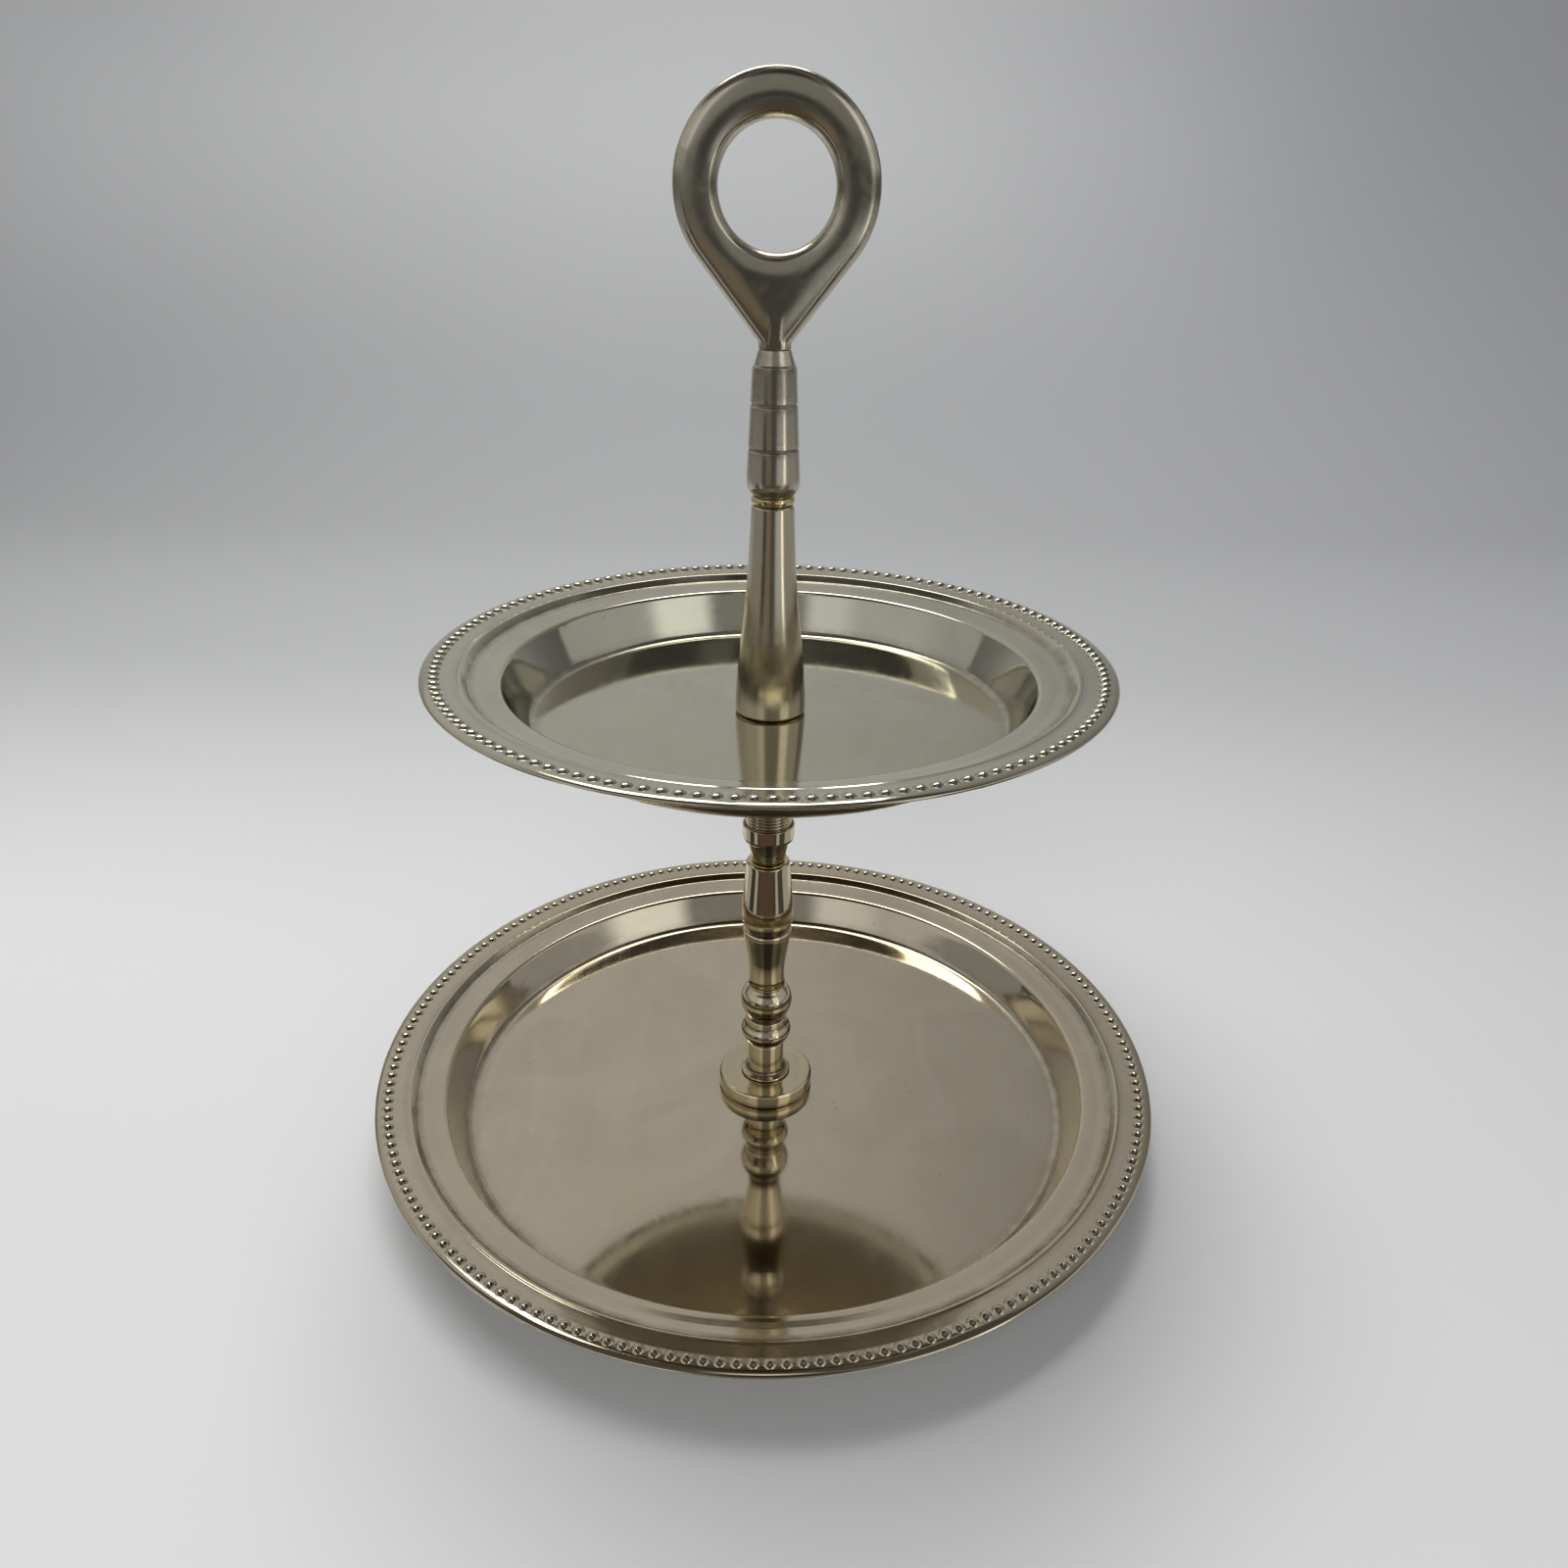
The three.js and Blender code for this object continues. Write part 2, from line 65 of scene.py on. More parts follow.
def fillet(points, step=12.0):
    """Rounds the corners of a polyline of (r, z) or (r, z, radius) points, a point every step degrees."""
    out = []
    for i, point in enumerate(points):
        here = Vector(point[:2])
        radius = point[2] if len(point) > 2 else 0.0
        if radius <= 0 or i in (0, len(points) - 1):
            out.append(tuple(here))
            continue
        back = Vector(points[i - 1][:2]) - here
        on = Vector(points[i + 1][:2]) - here
        reach = LONGEST_RUN * min(back.length, on.length)
        back.normalize()
        on.normalize()
        half = math.acos(max(-1.0, min(1.0, back.dot(on)))) / 2
        if half > STRAIGHT or half < FOLDED:
            out.append(tuple(here))
            continue
        run = min(radius / math.tan(half), reach)
        radius = run * math.tan(half)
        centre = here + (back + on).normalized() * (radius / math.sin(half))
        first = here + back * run - centre
        last = here + on * run - centre
        a0 = math.atan2(first.y, first.x)
        turn = (math.atan2(last.y, last.x) - a0 + math.pi) % FULL_TURN - math.pi
        steps = max(2, math.ceil(abs(math.degrees(turn)) / step))
        for k in range(steps + 1):
            a = a0 + turn * k / steps
            out.append((centre.x + radius * math.cos(a), centre.y + radius * math.sin(a)))
    return out


def smooth(points, steps=7):
    """A uniform Catmull-Rom curve through the points."""
    p = [Vector(q) for q in points]
    p = [p[0] * 2 - p[1]] + p + [p[-1] * 2 - p[-2]]
    out = []
    for i in range(1, len(p) - 2):
        a, b, c, d = p[i - 1:i + 3]
        for k in range(steps):
            t = k / steps
            q = 0.5 * (2 * b + (c - a) * t + (2 * a - 5 * b + 4 * c - d) * t * t
                       + (3 * b - a - 3 * c + d) * t * t * t)
            out.append(tuple(q))
    out.append(tuple(p[-2]))
    return out


def offset(points, distance):
    """The polyline of (r, z, radius) points moved to its left by distance, its fillets kept concentric."""
    def moved(a, b, at):
        way = (Vector(b[:2]) - Vector(a[:2])).normalized()
        return Vector(at[:2]) + Vector((-way.y, way.x)) * distance, way

    start, _ = moved(points[0], points[1], points[0])
    end, _ = moved(points[-2], points[-1], points[-1])
    out = [(start.x, start.y, 0.0)]
    for before, point, after in zip(points, points[1:], points[2:]):
        a, d1 = moved(before, point, before)
        b, d2 = moved(point, after, point)
        cross = d1.x * d2.y - d1.y * d2.x
        q = b
        if abs(cross) > PARALLEL:
            q = a + d1 * (((b - a).x * d2.y - (b - a).y * d2.x) / cross)
        radius = point[2] - distance if cross > 0 else point[2] + distance
        out.append((q.x, q.y, max(radius, LEAST_FILLET)))
    return out + [(end.x, end.y, 0.0)]


def spaced(points, longest):
    """The same outline with extra points, so that no step is longer than the given length."""
    out = [points[0]]
    for a, b in zip(points, points[1:]):
        n = max(1, math.ceil(math.dist(a, b) / longest))
        out += [(a[0] + (b[0] - a[0]) * k / n, a[1] + (b[1] - a[1]) * k / n) for k in range(1, n + 1)]
    return out


def bend_masks(points, closed, width=0.55):
    """How convex and how hollow an outline is at each point, 0 to 1, felt over a width in millimetres."""
    p = np.array(points)
    step = np.linalg.norm(np.roll(p, -1, 0) - p, axis=1)
    along = np.concatenate([[0], np.cumsum(step[:-1])])
    total = along[-1] + (step[-1] if closed else 0)
    before = p - np.roll(p, 1, 0)
    after = np.roll(p, -1, 0) - p
    turn = np.arctan2(before[:, 0] * after[:, 1] - before[:, 1] * after[:, 0], (before * after).sum(1))
    if not closed:
        turn[0] = turn[-1] = 0
    gap = np.abs(along[:, None] - along[None, :])
    if closed:
        gap = np.minimum(gap, total - gap)
    felt = (np.exp(-0.5 * (gap / width) ** 2) * turn[None, :]).sum(1)
    return np.clip(felt / FULL_BEND, 0, 1), np.clip(-felt / FULL_BEND, 0, 1)


# ---------- meshes ----------


def round_the_axis(segments):
    return np.linspace(0, FULL_TURN, segments, endpoint=False)


def revolve(points, angles, limit=None):
    """A grid: each (r, z) point at each angle. limit gives the largest radius at each angle."""
    p = np.array(points)
    radius = p[:, :1] if limit is None else np.minimum(p[:, :1], limit)
    return np.stack([radius * np.cos(angles), radius * np.sin(angles), p[:, 1:] + 0 * angles], 2)


class Shell:
    """Collects grids of points, in millimetres, into one mesh."""

    def __init__(self):
        self.points, self.faces, self.masks, self.count = [], [], [], 0

    def add(self, points, faces, edge=0.0, crease=0.0):
        n = len(points)
        self.points.append(np.asarray(points, float))
        self.masks.append(np.stack([np.broadcast_to(edge, n), np.broadcast_to(crease, n)], 1))
        self.faces += [tuple(int(v) + self.count for v in face) for face in faces]
        self.count += n

    def grid(self, points, wrap_u=False, wrap_v=True, edge=0.0, crease=0.0, pole=None):
        """points[i, j]; faces look out when j turns anticlockwise and i climbs. pole closes the last row."""
        m, n = points.shape[:2]
        rows, columns = np.arange(m if wrap_u else m - 1), np.arange(n if wrap_v else n - 1)
        i, j = np.meshgrid(rows, columns, indexing="ij")
        a = (i * n + j).ravel()
        b = (i * n + (j + 1) % n).ravel()
        c = ((i + 1) % m * n + (j + 1) % n).ravel()
        d = ((i + 1) % m * n + j).ravel()
        faces = [tuple(f) for f in np.stack([a, b, c, d], 1).tolist()]
        flat = points.reshape(-1, 3)
        edge = np.repeat(np.broadcast_to(edge, m), n)
        crease = np.repeat(np.broadcast_to(crease, m), n)
        if pole is not None:
            flat = np.vstack([flat, pole])
            edge, crease = np.append(edge, edge[-1]), np.append(crease, crease[-1])
            last = (m - 1) * n
            faces += [(last + k, last + (k + 1) % n, m * n) for k in range(n)]
        self.add(flat, faces, edge, crease)

    def close_foot(self, first, n, point, edge=0.0, crease=0.0):
        """A fan from one point to the n points of a grid's first row, which starts at vertex first."""
        self.add([point], [], edge, crease)
        self.faces += [(first + (k + 1) % n, first + k, self.count - 1) for k in range(n)]

    def build(self, name, sharp=32.0):
        mesh = bpy.data.meshes.new(name)
        mesh.from_pydata((np.vstack(self.points) * MM).tolist(), [], self.faces)
        masks = np.vstack(self.masks).astype(np.float32)
        for k, label in enumerate(("edge", "crease")):
            layer = mesh.attributes.new(label, "FLOAT", "POINT")
            layer.data.foreach_set("value", np.ascontiguousarray(masks[:, k]))
        mesh.shade_smooth()
        mesh.set_sharp_from_angle(angle=math.radians(sharp))
        obj = bpy.data.objects.new(name, mesh)
        scene.collection.objects.link(obj)
        return obj


def lathe(shell, outline, segments, longest=2.5):
    """Turns an anticlockwise outline round Z. It closes on itself unless both ends are on the axis."""
    closed = outline[0][0] > TINY
    points = list(outline)
    if closed:
        points.append(points[0])
    points = spaced(points, longest)
    clean = [points[0]]
    for q in points[1:]:
        if math.dist(q, clean[-1]) > SAME_POINT:
            clean.append(q)
    if closed and math.dist(clean[0], clean[-1]) < SAME_POINT:
        clean.pop()
    edge, crease = bend_masks(clean, closed)
    angles = round_the_axis(segments)
    if closed:
        shell.grid(revolve(clean, angles), wrap_u=True, edge=edge, crease=crease)
        return
    foot, top = clean[0], clean[-1]
    first = shell.count
    shell.grid(revolve(clean[1:-1], angles), edge=edge[1:-1], crease=crease[1:-1], pole=(0, 0, top[1]))
    shell.close_foot(first, segments, (0, 0, foot[1]), edge[0], crease[0])


# ---------- node materials ----------


class Tree:
    """Short names for making shader nodes."""

    def __init__(self, owner):
        self.nodes = owner.node_tree.nodes
        self.links = owner.node_tree.links

    def node(self, kind, inputs=None, **settings):
        made = self.nodes.new(kind)
        for key, value in settings.items():
            setattr(made, key, value)
        for key, value in (inputs or {}).items():
            self.put(made.inputs[key], value)
        return made

    def put(self, socket, value):
        if isinstance(value, bpy.types.NodeSocket):
            self.links.new(value, socket)
        elif isinstance(value, bpy.types.Node):
            self.links.new(value.outputs[0], socket)
        else:
            socket.default_value = value

    def math(self, operation, a, b=0.0, c=0.0, clamp=False):
        inputs = {0: a, 1: b, 2: c}
        return self.node("ShaderNodeMath", inputs, operation=operation, use_clamp=clamp).outputs[0]

    def ramp(self, value, low, high, out_low=0.0, out_high=1.0, smooth_step=True):
        kind = "SMOOTHSTEP" if smooth_step else "LINEAR"
        inputs = {"Value": value, "From Min": low, "From Max": high, "To Min": out_low, "To Max": out_high}
        return self.node("ShaderNodeMapRange", inputs, interpolation_type=kind).outputs[0]

    def noise(self, vector, scale, detail=3.0, rough=0.5, distortion=0.0):
        inputs = {"Vector": vector, "Scale": scale, "Detail": detail, "Roughness": rough,
                  "Distortion": distortion}
        return self.node("ShaderNodeTexNoise", inputs).outputs[0]

    def mix(self, factor, a, b):
        made = self.node("ShaderNodeMix", data_type="RGBA", blend_type="MIX")
        self.put(made.inputs[0], factor)
        self.put(made.inputs[6], a)
        self.put(made.inputs[7], b)
        return made.outputs[2]

    def place(self, vector, turn, scale):
        inputs = {"Vector": vector, "Rotation": [math.radians(a) for a in turn], "Scale": scale}
        return self.node("ShaderNodeMapping", inputs).outputs[0]


def new_material(name):
    material = bpy.data.materials.new(name)
    material.use_nodes = True
    material.node_tree.nodes.clear()
    tree = Tree(material)
    shader = tree.node("ShaderNodeBsdfPrincipled")
    output = tree.node("ShaderNodeOutputMaterial")
    tree.links.new(shader.outputs[0], output.inputs[0])
    return material, tree, shader


def rgb(r, g, b):
    return (r, g, b, 1.0)


def lit(colour, factor):
    return rgb(*[min(c * factor, 1) for c in colour])


NEAR_AXIS = 0.0005                   # metres; nearer than this, the direction from the axis fades out
FINE_TURNING, BROAD_TURNING = (2600.0, 1.6), (420.0, 0.9)    # scales across and along the turning lines
WIPE = (0, 0, 34), (46.0, 12.0, 46.0)                        # turn and stretch of the wiped film's streaks
CLOTH = (0, 0, -28), (150.0, 20.0, 150.0)                    # the same for the cloth's finer streaks
SCRATCHES = (                                                # turn, stretch, and the noise that starts a mark
    ((0, 0, 24), (3600, 150, 260), 0.72),
    ((12, 38, -51), (3900, 190, 240), 0.73),
    ((48, 8, 82), (260, 3300, 170), 0.73),
)
SCRATCH_FADE = 0.06
TARNISH_COVER, SPECK_COVER, FILM_COVER = 0.85, 0.45, 0.45    # how far each hides the clean plate
SMEAR_ROUGH, FILM_ROUGH, CLOTH_ROUGH, SCRATCH_ROUGH, DULL_ROUGH = 0.03, 0.08, 0.05, 0.05, 0.28
METAL_BUMP, METAL_BUMP_DEPTH = 0.10, 0.00006


def metal(name, base, dark, warm, rough, smear, scratch, turned, blotch=0.0, haze=0.0):
    """Old plate: wiping smears, turning lines, fine scratches, tarnish in the creases, wear on the edges."""
    material, t, shader = new_material(name)
    place = t.node("ShaderNodeTexCoord").outputs["Object"]
    xyz = t.node("ShaderNodeSeparateXYZ", {0: place}).outputs
    radius = t.math("SQRT", t.math("MULTIPLY_ADD", xyz[0], xyz[0], t.math("MULTIPLY", xyz[1], xyz[1])))
    safe = t.math("MAXIMUM", radius, NEAR_AXIS)
    east, north = t.math("DIVIDE", xyz[0], safe), t.math("DIVIDE", xyz[1], safe)

    def around(across, along):
        """Coordinates that stretch a pattern into lines round the axis."""
        parts = {0: t.math("MULTIPLY", t.math("ADD", radius, xyz[2]), across),
                 1: t.math("MULTIPLY", east, along), 2: t.math("MULTIPLY", north, along)}
        return t.node("ShaderNodeCombineXYZ", parts).outputs[0]

    # patterns
    lines = t.noise(around(*FINE_TURNING), 1.0, 3.0, 0.6)
    wide_lines = t.noise(around(*BROAD_TURNING), 1.0, 3.0, 0.55)
    smears = t.noise(place, 17.0, 4.0, 0.55, 1.6)
    wipe = t.noise(t.place(place, *WIPE), 1.0, 5.0, 0.62, 1.1)
    cloth = t.noise(t.place(place, *CLOTH), 1.0, 5.0, 0.65, 1.5)
    mottle = t.noise(place, 160.0, 5.0, 0.6)
    marks = None
    for turn, stretch, low in SCRATCHES:
        line = t.ramp(t.noise(t.place(place, turn, stretch), 1.0, 1.5, 0.5), low, low + SCRATCH_FADE)
        marks = line if marks is None else t.math("MAXIMUM", marks, line)

    # where the plate is dull, and where a film lies on it
    edge = t.node("ShaderNodeAttribute", attribute_name="edge").outputs["Fac"]
    crease = t.node("ShaderNodeAttribute", attribute_name="crease").outputs["Fac"]
    tarnish = t.math("MULTIPLY", crease, t.ramp(mottle, 0.3, 0.65, 0.35, 1.0))
    patches = t.ramp(t.noise(place, 62.0, 5.0, 0.62, 0.6), 0.52, 0.72)
    specks_at = t.node("ShaderNodeTexVoronoi", {"Vector": place, "Scale": 210.0, "Randomness": 1.0})
    specks = t.math("MULTIPLY", t.ramp(specks_at.outputs["Distance"], 0.10, 0.05),
                    t.ramp(t.noise(place, 30.0, 2.0), 0.55, 0.65))
    dull = t.math("ADD", t.math("MULTIPLY", tarnish, TARNISH_COVER), t.math("MULTIPLY", patches, blotch),
                  clamp=True)
    dull = t.math("MAXIMUM", dull, t.math("MULTIPLY", specks, SPECK_COVER))
    film = t.math("MULTIPLY", t.ramp(wipe, 0.34, 0.76), t.ramp(cloth, 0.22, 0.80, 0.35))

    tone = t.mix(t.ramp(smears, 0.32, 0.68), lit(base, 0.94), lit(base, 1.04))
    tone = t.mix(t.ramp(wide_lines, 0.35, 0.7, 0.0, 0.3), tone, rgb(*warm))
    tone = t.mix(t.math("MULTIPLY", film, FILM_COVER * smear), tone, lit(base, 1.12))
    tone = t.mix(t.math("MULTIPLY", edge, t.ramp(mottle, 0.42, 0.6, 0.1, 0.75)), tone, rgb(*warm))
    tone = t.mix(dull, tone, rgb(*dark))

    shine = t.math("MULTIPLY_ADD", t.ramp(smears, 0.35, 0.75), SMEAR_ROUGH * smear, rough)
    shine = t.math("MULTIPLY_ADD", film, FILM_ROUGH * haze, shine)
    shine = t.math("MULTIPLY_ADD", t.ramp(cloth, 0.45, 0.75), CLOTH_ROUGH * haze, shine)
    shine = t.math("MULTIPLY_ADD", marks, SCRATCH_ROUGH * scratch, shine)
    shine = t.math("MULTIPLY_ADD", dull, DULL_ROUGH, shine)

    height = t.math("MULTIPLY", lines, 0.30 * turned)
    height = t.math("MULTIPLY_ADD", wide_lines, 0.6 * turned, height)
    height = t.math("MULTIPLY_ADD", marks, -0.12 * scratch, height)
    height = t.math("MULTIPLY_ADD", mottle, 0.25 + 1.2 * blotch, height)
    bump = {"Strength": METAL_BUMP, "Distance": METAL_BUMP_DEPTH, "Height": height}

    shader.inputs["Metallic"].default_value = 1.0
    t.put(shader.inputs["Base Color"], tone)
    t.put(shader.inputs["Roughness"], shine)
    t.put(shader.inputs["Normal"], t.node("ShaderNodeBump", bump))
    return material


def matt(name, base, other, rough, grain, bump_strength, bump_depth):
    """Rubber or pressed fibre: a fine grain, with a little dust."""
    material, t, shader = new_material(name)
    place = t.node("ShaderNodeTexCoord").outputs["Object"]
    fine = t.noise(place, grain, 5.0, 0.65)
    dust = t.noise(place, grain * 0.07, 4.0, 0.6)
    bump = {"Strength": bump_strength, "Distance": bump_depth, "Height": fine}
    t.put(shader.inputs["Base Color"], t.mix(t.ramp(dust, 0.4, 0.7), rgb(*base), rgb(*other)))
    t.put(shader.inputs["Roughness"], t.ramp(fine, 0.3, 0.7, rough - 0.08, rough + 0.08))
    t.put(shader.inputs["Normal"], t.node("ShaderNodeBump", bump))
    return material


# each metal's three colours are the clean plate, its tarnish and the warmer metal at worn edges
lower_plate = metal("lower_tray_plate", (0.63, 0.565, 0.44), (0.16, 0.13, 0.08), (0.64, 0.54, 0.35),
                    rough=0.05, smear=1.3, scratch=0.7, turned=1.2, haze=0.7)
upper_plate = metal("upper_tray_plate", (0.58, 0.56, 0.455), (0.16, 0.14, 0.09), (0.61, 0.54, 0.37),
                    rough=0.06, smear=1.2, scratch=0.7, turned=1.2, haze=0.8)
# the trays' underside: a duller plate whose dark colour is painted shade under the trays
dull_underside_painted_shade = metal("dull_underside_painted_shade", (0.17, 0.145, 0.105), (0.10, 0.08, 0.05), (0.24, 0.19, 0.12),
                  rough=0.36, smear=1.5, scratch=0.5, turned=1.0, blotch=0.2)
column_plate = metal("column_plate", (0.62, 0.545, 0.39), (0.17, 0.13, 0.07), (0.66, 0.55, 0.33),
                     rough=0.06, smear=0.5, scratch=0.6, turned=0.8)
sleeve_plate = metal("sleeve_plate", (0.60, 0.54, 0.41), (0.18, 0.14, 0.08), (0.66, 0.55, 0.34),
                     rough=0.15, smear=1.0, scratch=0.8, turned=1.2, haze=0.6)
handle_plate = metal("handle_plate", (0.55, 0.505, 0.405), (0.20, 0.17, 0.12), (0.62, 0.53, 0.36),
                     rough=0.17, smear=1.2, scratch=1.6, turned=0.3, blotch=0.35, haze=1.0)
worn_brass = metal("worn_brass", (0.68, 0.57, 0.34), (0.20, 0.14, 0.07), (0.74, 0.60, 0.32),
                   rough=0.07, smear=0.5, scratch=0.6, turned=0.8)
fastener_steel = metal("fastener_steel", (0.50, 0.50, 0.48), (0.20, 0.18, 0.15), (0.56, 0.54, 0.47),
                       rough=0.30, smear=0.6, scratch=1.0, turned=0.6, blotch=0.2)
rubber = matt("rubber", (0.035, 0.035, 0.034), (0.075, 0.072, 0.068),
              rough=0.72, grain=2600.0, bump_strength=0.35, bump_depth=0.00008)
fibre = matt("fibre", (0.42, 0.35, 0.24), (0.50, 0.43, 0.31),
             rough=0.9, grain=1900.0, bump_strength=0.5, bump_depth=0.0001)


def finish_piece(obj, node, body, material):
    obj.data.materials.append(material)
    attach(obj, body)
    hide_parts(node)
    return obj


def base_and_height(node):
    lo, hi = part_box(node)
    return lo.z / MM, (hi.z - lo.z) / MM


# ---------- camera ----------

ROLL_TOP = 0.9                       # the beads stand this far above a tray's rim plane
LENS, SENSOR = 26.31, 36.0
YAW, PITCH, ROLL = math.radians(0.824), math.radians(-25.834), math.radians(1.117)
BACK, ABOVE_RIM = 0.32148, 0.11249   # metres from the axis, and above the upper tray's rim plane

camera_data = bpy.data.cameras.new("camera")
camera = bpy.data.objects.new("camera", camera_data)
scene.collection.objects.link(camera)
camera_data.sensor_fit = "HORIZONTAL"
camera_data.sensor_width = SENSOR
camera_data.lens = LENS
camera_data.clip_start = 0.01
camera_data.clip_end = 20.0
right = Vector((math.cos(YAW), -math.sin(YAW), 0))
ahead = Vector((math.sin(YAW) * math.cos(PITCH), math.cos(YAW) * math.cos(PITCH), math.sin(PITCH)))
up = right.cross(ahead)
right, up = math.cos(ROLL) * right + math.sin(ROLL) * up, math.cos(ROLL) * up - math.sin(ROLL) * right
turned_frame = Matrix((right, up, -ahead)).transposed().to_4x4()
upper_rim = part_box("upper_tray")[1].z / MM - ROLL_TOP
camera.matrix_world = Matrix.Translation((0, -BACK, upper_rim * MM + ABOVE_RIM)) @ turned_frame
scene.camera = camera

# ---------- trays ----------

SHEET = 1.0                          # the height of a tray's floor above its node's base
BORE = 3.3
BED_FILLET = 5.5                     # the least rounding of the underside, below the level of the floor
CREST, CREST_TOP = 2.7, 0.02         # the rim's highest line: how far in from the edge, and its height
EDGE_LIP, EDGE_LIP_DROP = 0.55, 0.9  # the turned-under lip: its radius, and its drop below the rim plane
BEAD_INSET, BEAD_DROP = 3.7, 0.24    # the bead row, in from the edge and down from the rim plane
BEAD_BALL, BEAD_CROWN = 2.23, 0.97   # a bead's radius, and how far its top stands over its seat
BEAD_SKIRT = [(2.06, -0.70), (1.98, -0.25), (1.90, -0.02), (1.80, 0.12)]
WALL_ANGLE = math.radians(64)
WALL_TOP_IN, WALL_TOP_DROP, FLOOR_FILLET = 21.7, 4.35, 3.2
BAND_IN = 12.8                       # the wide band starts this far in from the edge
BORDER = [                           # in from the edge, down from the rim plane, rounding
    (5.8, 0.52, 3.0),                # the bead seat's inner side
    (9.8, 1.02, 1.0),
    (10.45, 0.84, 0.8),              # the small raised step
    (11.1, 0.95, 0.8),
    (BAND_IN, 2.95, 1.0),
    (16.9, 3.72, 9.0),
]
HUB_ROUNDING, HUB_SLOPE = 0.8, 1.2
UNDERSIDE_IN = 2.3                   # the underside starts this far in from the edge, inside the lip
FACING_DOWN = -0.05                  # the height of a normal, below which a face is part of the underside
TRAY_SEGMENTS, BEAD_SEGMENTS = 360, 20


def tray_outline(radius, base, rim, gauge, hub):
    """The pressed sheet: rolled edge, bead seat, step, wide band, wall and floor. The sheet is gauge thick
    outside the hub, which sits on the base plane."""
    floor = base + SHEET
    edge_r, edge_z = radius - WALL_TOP_IN, rim - WALL_TOP_DROP
    corner = edge_r - (edge_z - floor) / math.tan(WALL_ANGLE)
    top = [(radius - CREST, rim + CREST_TOP, 1.5)]
    top += [(radius - inset, rim - drop, rounding) for inset, drop, rounding in BORDER]
    top += [(edge_r, edge_z, 2.0), (corner, floor, FLOOR_FILLET), (BORE, floor, 0.0)]
    under = offset([(radius - 1.5, rim - 0.1, 0.0)] + top, gauge)[:0:-1]
    under = [(r, z, max(f, BED_FILLET) if z < floor else f) for r, z, f in under if r < radius - UNDERSIDE_IN]
    seat = [(BORE, base)]
    if hub:
        seat += [(hub, base, HUB_ROUNDING), (hub + HUB_SLOPE, base + SHEET - gauge, HUB_ROUNDING)]
    bottom = fillet(seat + under[1:] + [(radius - 1.6, rim - 1.25)], 8.0)
    edge = arc(radius - EDGE_LIP, rim - EDGE_LIP_DROP, EDGE_LIP, -115, 10, 16)
    rise = EDGE_LIP_DROP + CREST_TOP
    slope = [(radius - CREST * (1 - math.cos(a)), rim - EDGE_LIP_DROP + rise * math.sin(a))
             for a in np.radians(np.linspace(6, 84, 14))]
    return bottom + edge + slope + fillet([slope[-1]] + top, 6.0)[1:]


def add_beads(shell, radius, height, count):
    """The stamped bead row: a ring of domes that flare into the sheet."""
    cap = [(BEAD_BALL * math.sin(a), BEAD_CROWN + BEAD_BALL * (math.cos(a) - 1))
           for a in np.radians(np.arange(50, 3, -6))]
    side = BEAD_SKIRT + cap
    dome = revolve(side, round_the_axis(BEAD_SEGMENTS))
    hollow = np.clip(1.0 - np.arange(len(side)) * 0.25, 0, 1)
    for k in range(count):
        turn = FULL_TURN * (k + 0.5) / count
        c, s = math.cos(turn), math.sin(turn)
        spin = np.array([[c, s, 0], [-s, c, 0], [0, 0, 1]])
        centre = np.array([radius * c, radius * s, height])
        shell.grid(dome @ spin + centre, crease=hollow, pole=centre + (0, 0, BEAD_CROWN))


def make_tray(node, body, plate, beads, gauge, hub):
    lo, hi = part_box(node)
    radius, base, rim = hi.x / MM, lo.z / MM, hi.z / MM - ROLL_TOP
    shell = Shell()
    lathe(shell, tray_outline(radius, base, rim, gauge, hub), TRAY_SEGMENTS)
    add_beads(shell, radius - BEAD_INSET, rim - BEAD_DROP, beads)
    tray = finish_piece(shell.build(node + "_pressed"), node, body, plate)
    tray.data.materials.append(dull_underside_painted_shade)
    # faces that look down take the second plate, darkened with painted shade under the tray
    for face in tray.data.polygons:
        from_axis = math.hypot(face.center.x, face.center.y) / MM
        if face.normal.z < FACING_DOWN and from_axis < radius - BAND_IN:
            face.material_index = 1


make_tray("lower_tray", "stand", lower_plate, beads=188, gauge=1.0, hub=0.0)
make_tray("upper_tray", "upper_tray", upper_plate, beads=143, gauge=0.5, hub=20.0)

# ---------- turned pieces ----------


def turned_piece(node, outline, body, material, longest=1.6):
    """A piece turned round the axis. outline(height) stands on its CAD node's base."""
    base, height = base_and_height(node)
    shell = Shell()
    lathe(shell, [(r, z + base) for r, z in outline(height)], 112, longest)
    finish_piece(shell.build(node + "_turned"), node, body, material)


def bored_piece(node, side, body="stand", material=column_plate, seat=0.0, step=12.0,
                longest=1.6):
    """A turned piece on the rod. side(height) gives its (radius, height, rounding) points from the foot to
    the top, the last of them rounded as if the top were level. The bore ends a seat's depth below the top."""
    def outline(h):
        foot, points = (BORE, 0.0), side(h)
        rounded = fillet([foot] + points + [(BORE, points[-1][1])], step)[1:-1]
        return [foot] + rounded + [(BORE, h - seat)]
    turned_piece(node, outline, body, material, longest)


bored_piece("base_disc", lambda h: [
    (15.5, 0), (16.2, 0.7, 0.6), (16.2, 2.6, 6.0), (16.1, h - 0.75, 0.3), (15.45, h, 0.35),
    (14.2, h - 0.02, 0.3), (12.0, h - 0.12, 2.0)])

bored_piece("column_ferrule", lambda h: [
    (8.3, 0), (8.6, 0.35, 0.25), (8.35, 0.8, 0.3), (6.75, 1.35, 0.8), (6.2, 2.6, 1.6), (6.2, h - 0.5, 0.4),
    (5.8, h, 0.2)])

bored_piece("skirted_bead", lambda h: (
    [(6.3, 0, 0.3)]
    + smooth([(6.6, 0.5), (7.65, 1.7), (8.4, 3.6), (8.55, 4.9), (8.15, 6.1), (7.35, 7.2)])
    + [(7.0, 8.0, 0.5), (7.0, h - 0.35, 0.3), (6.7, h, 0.2)]))

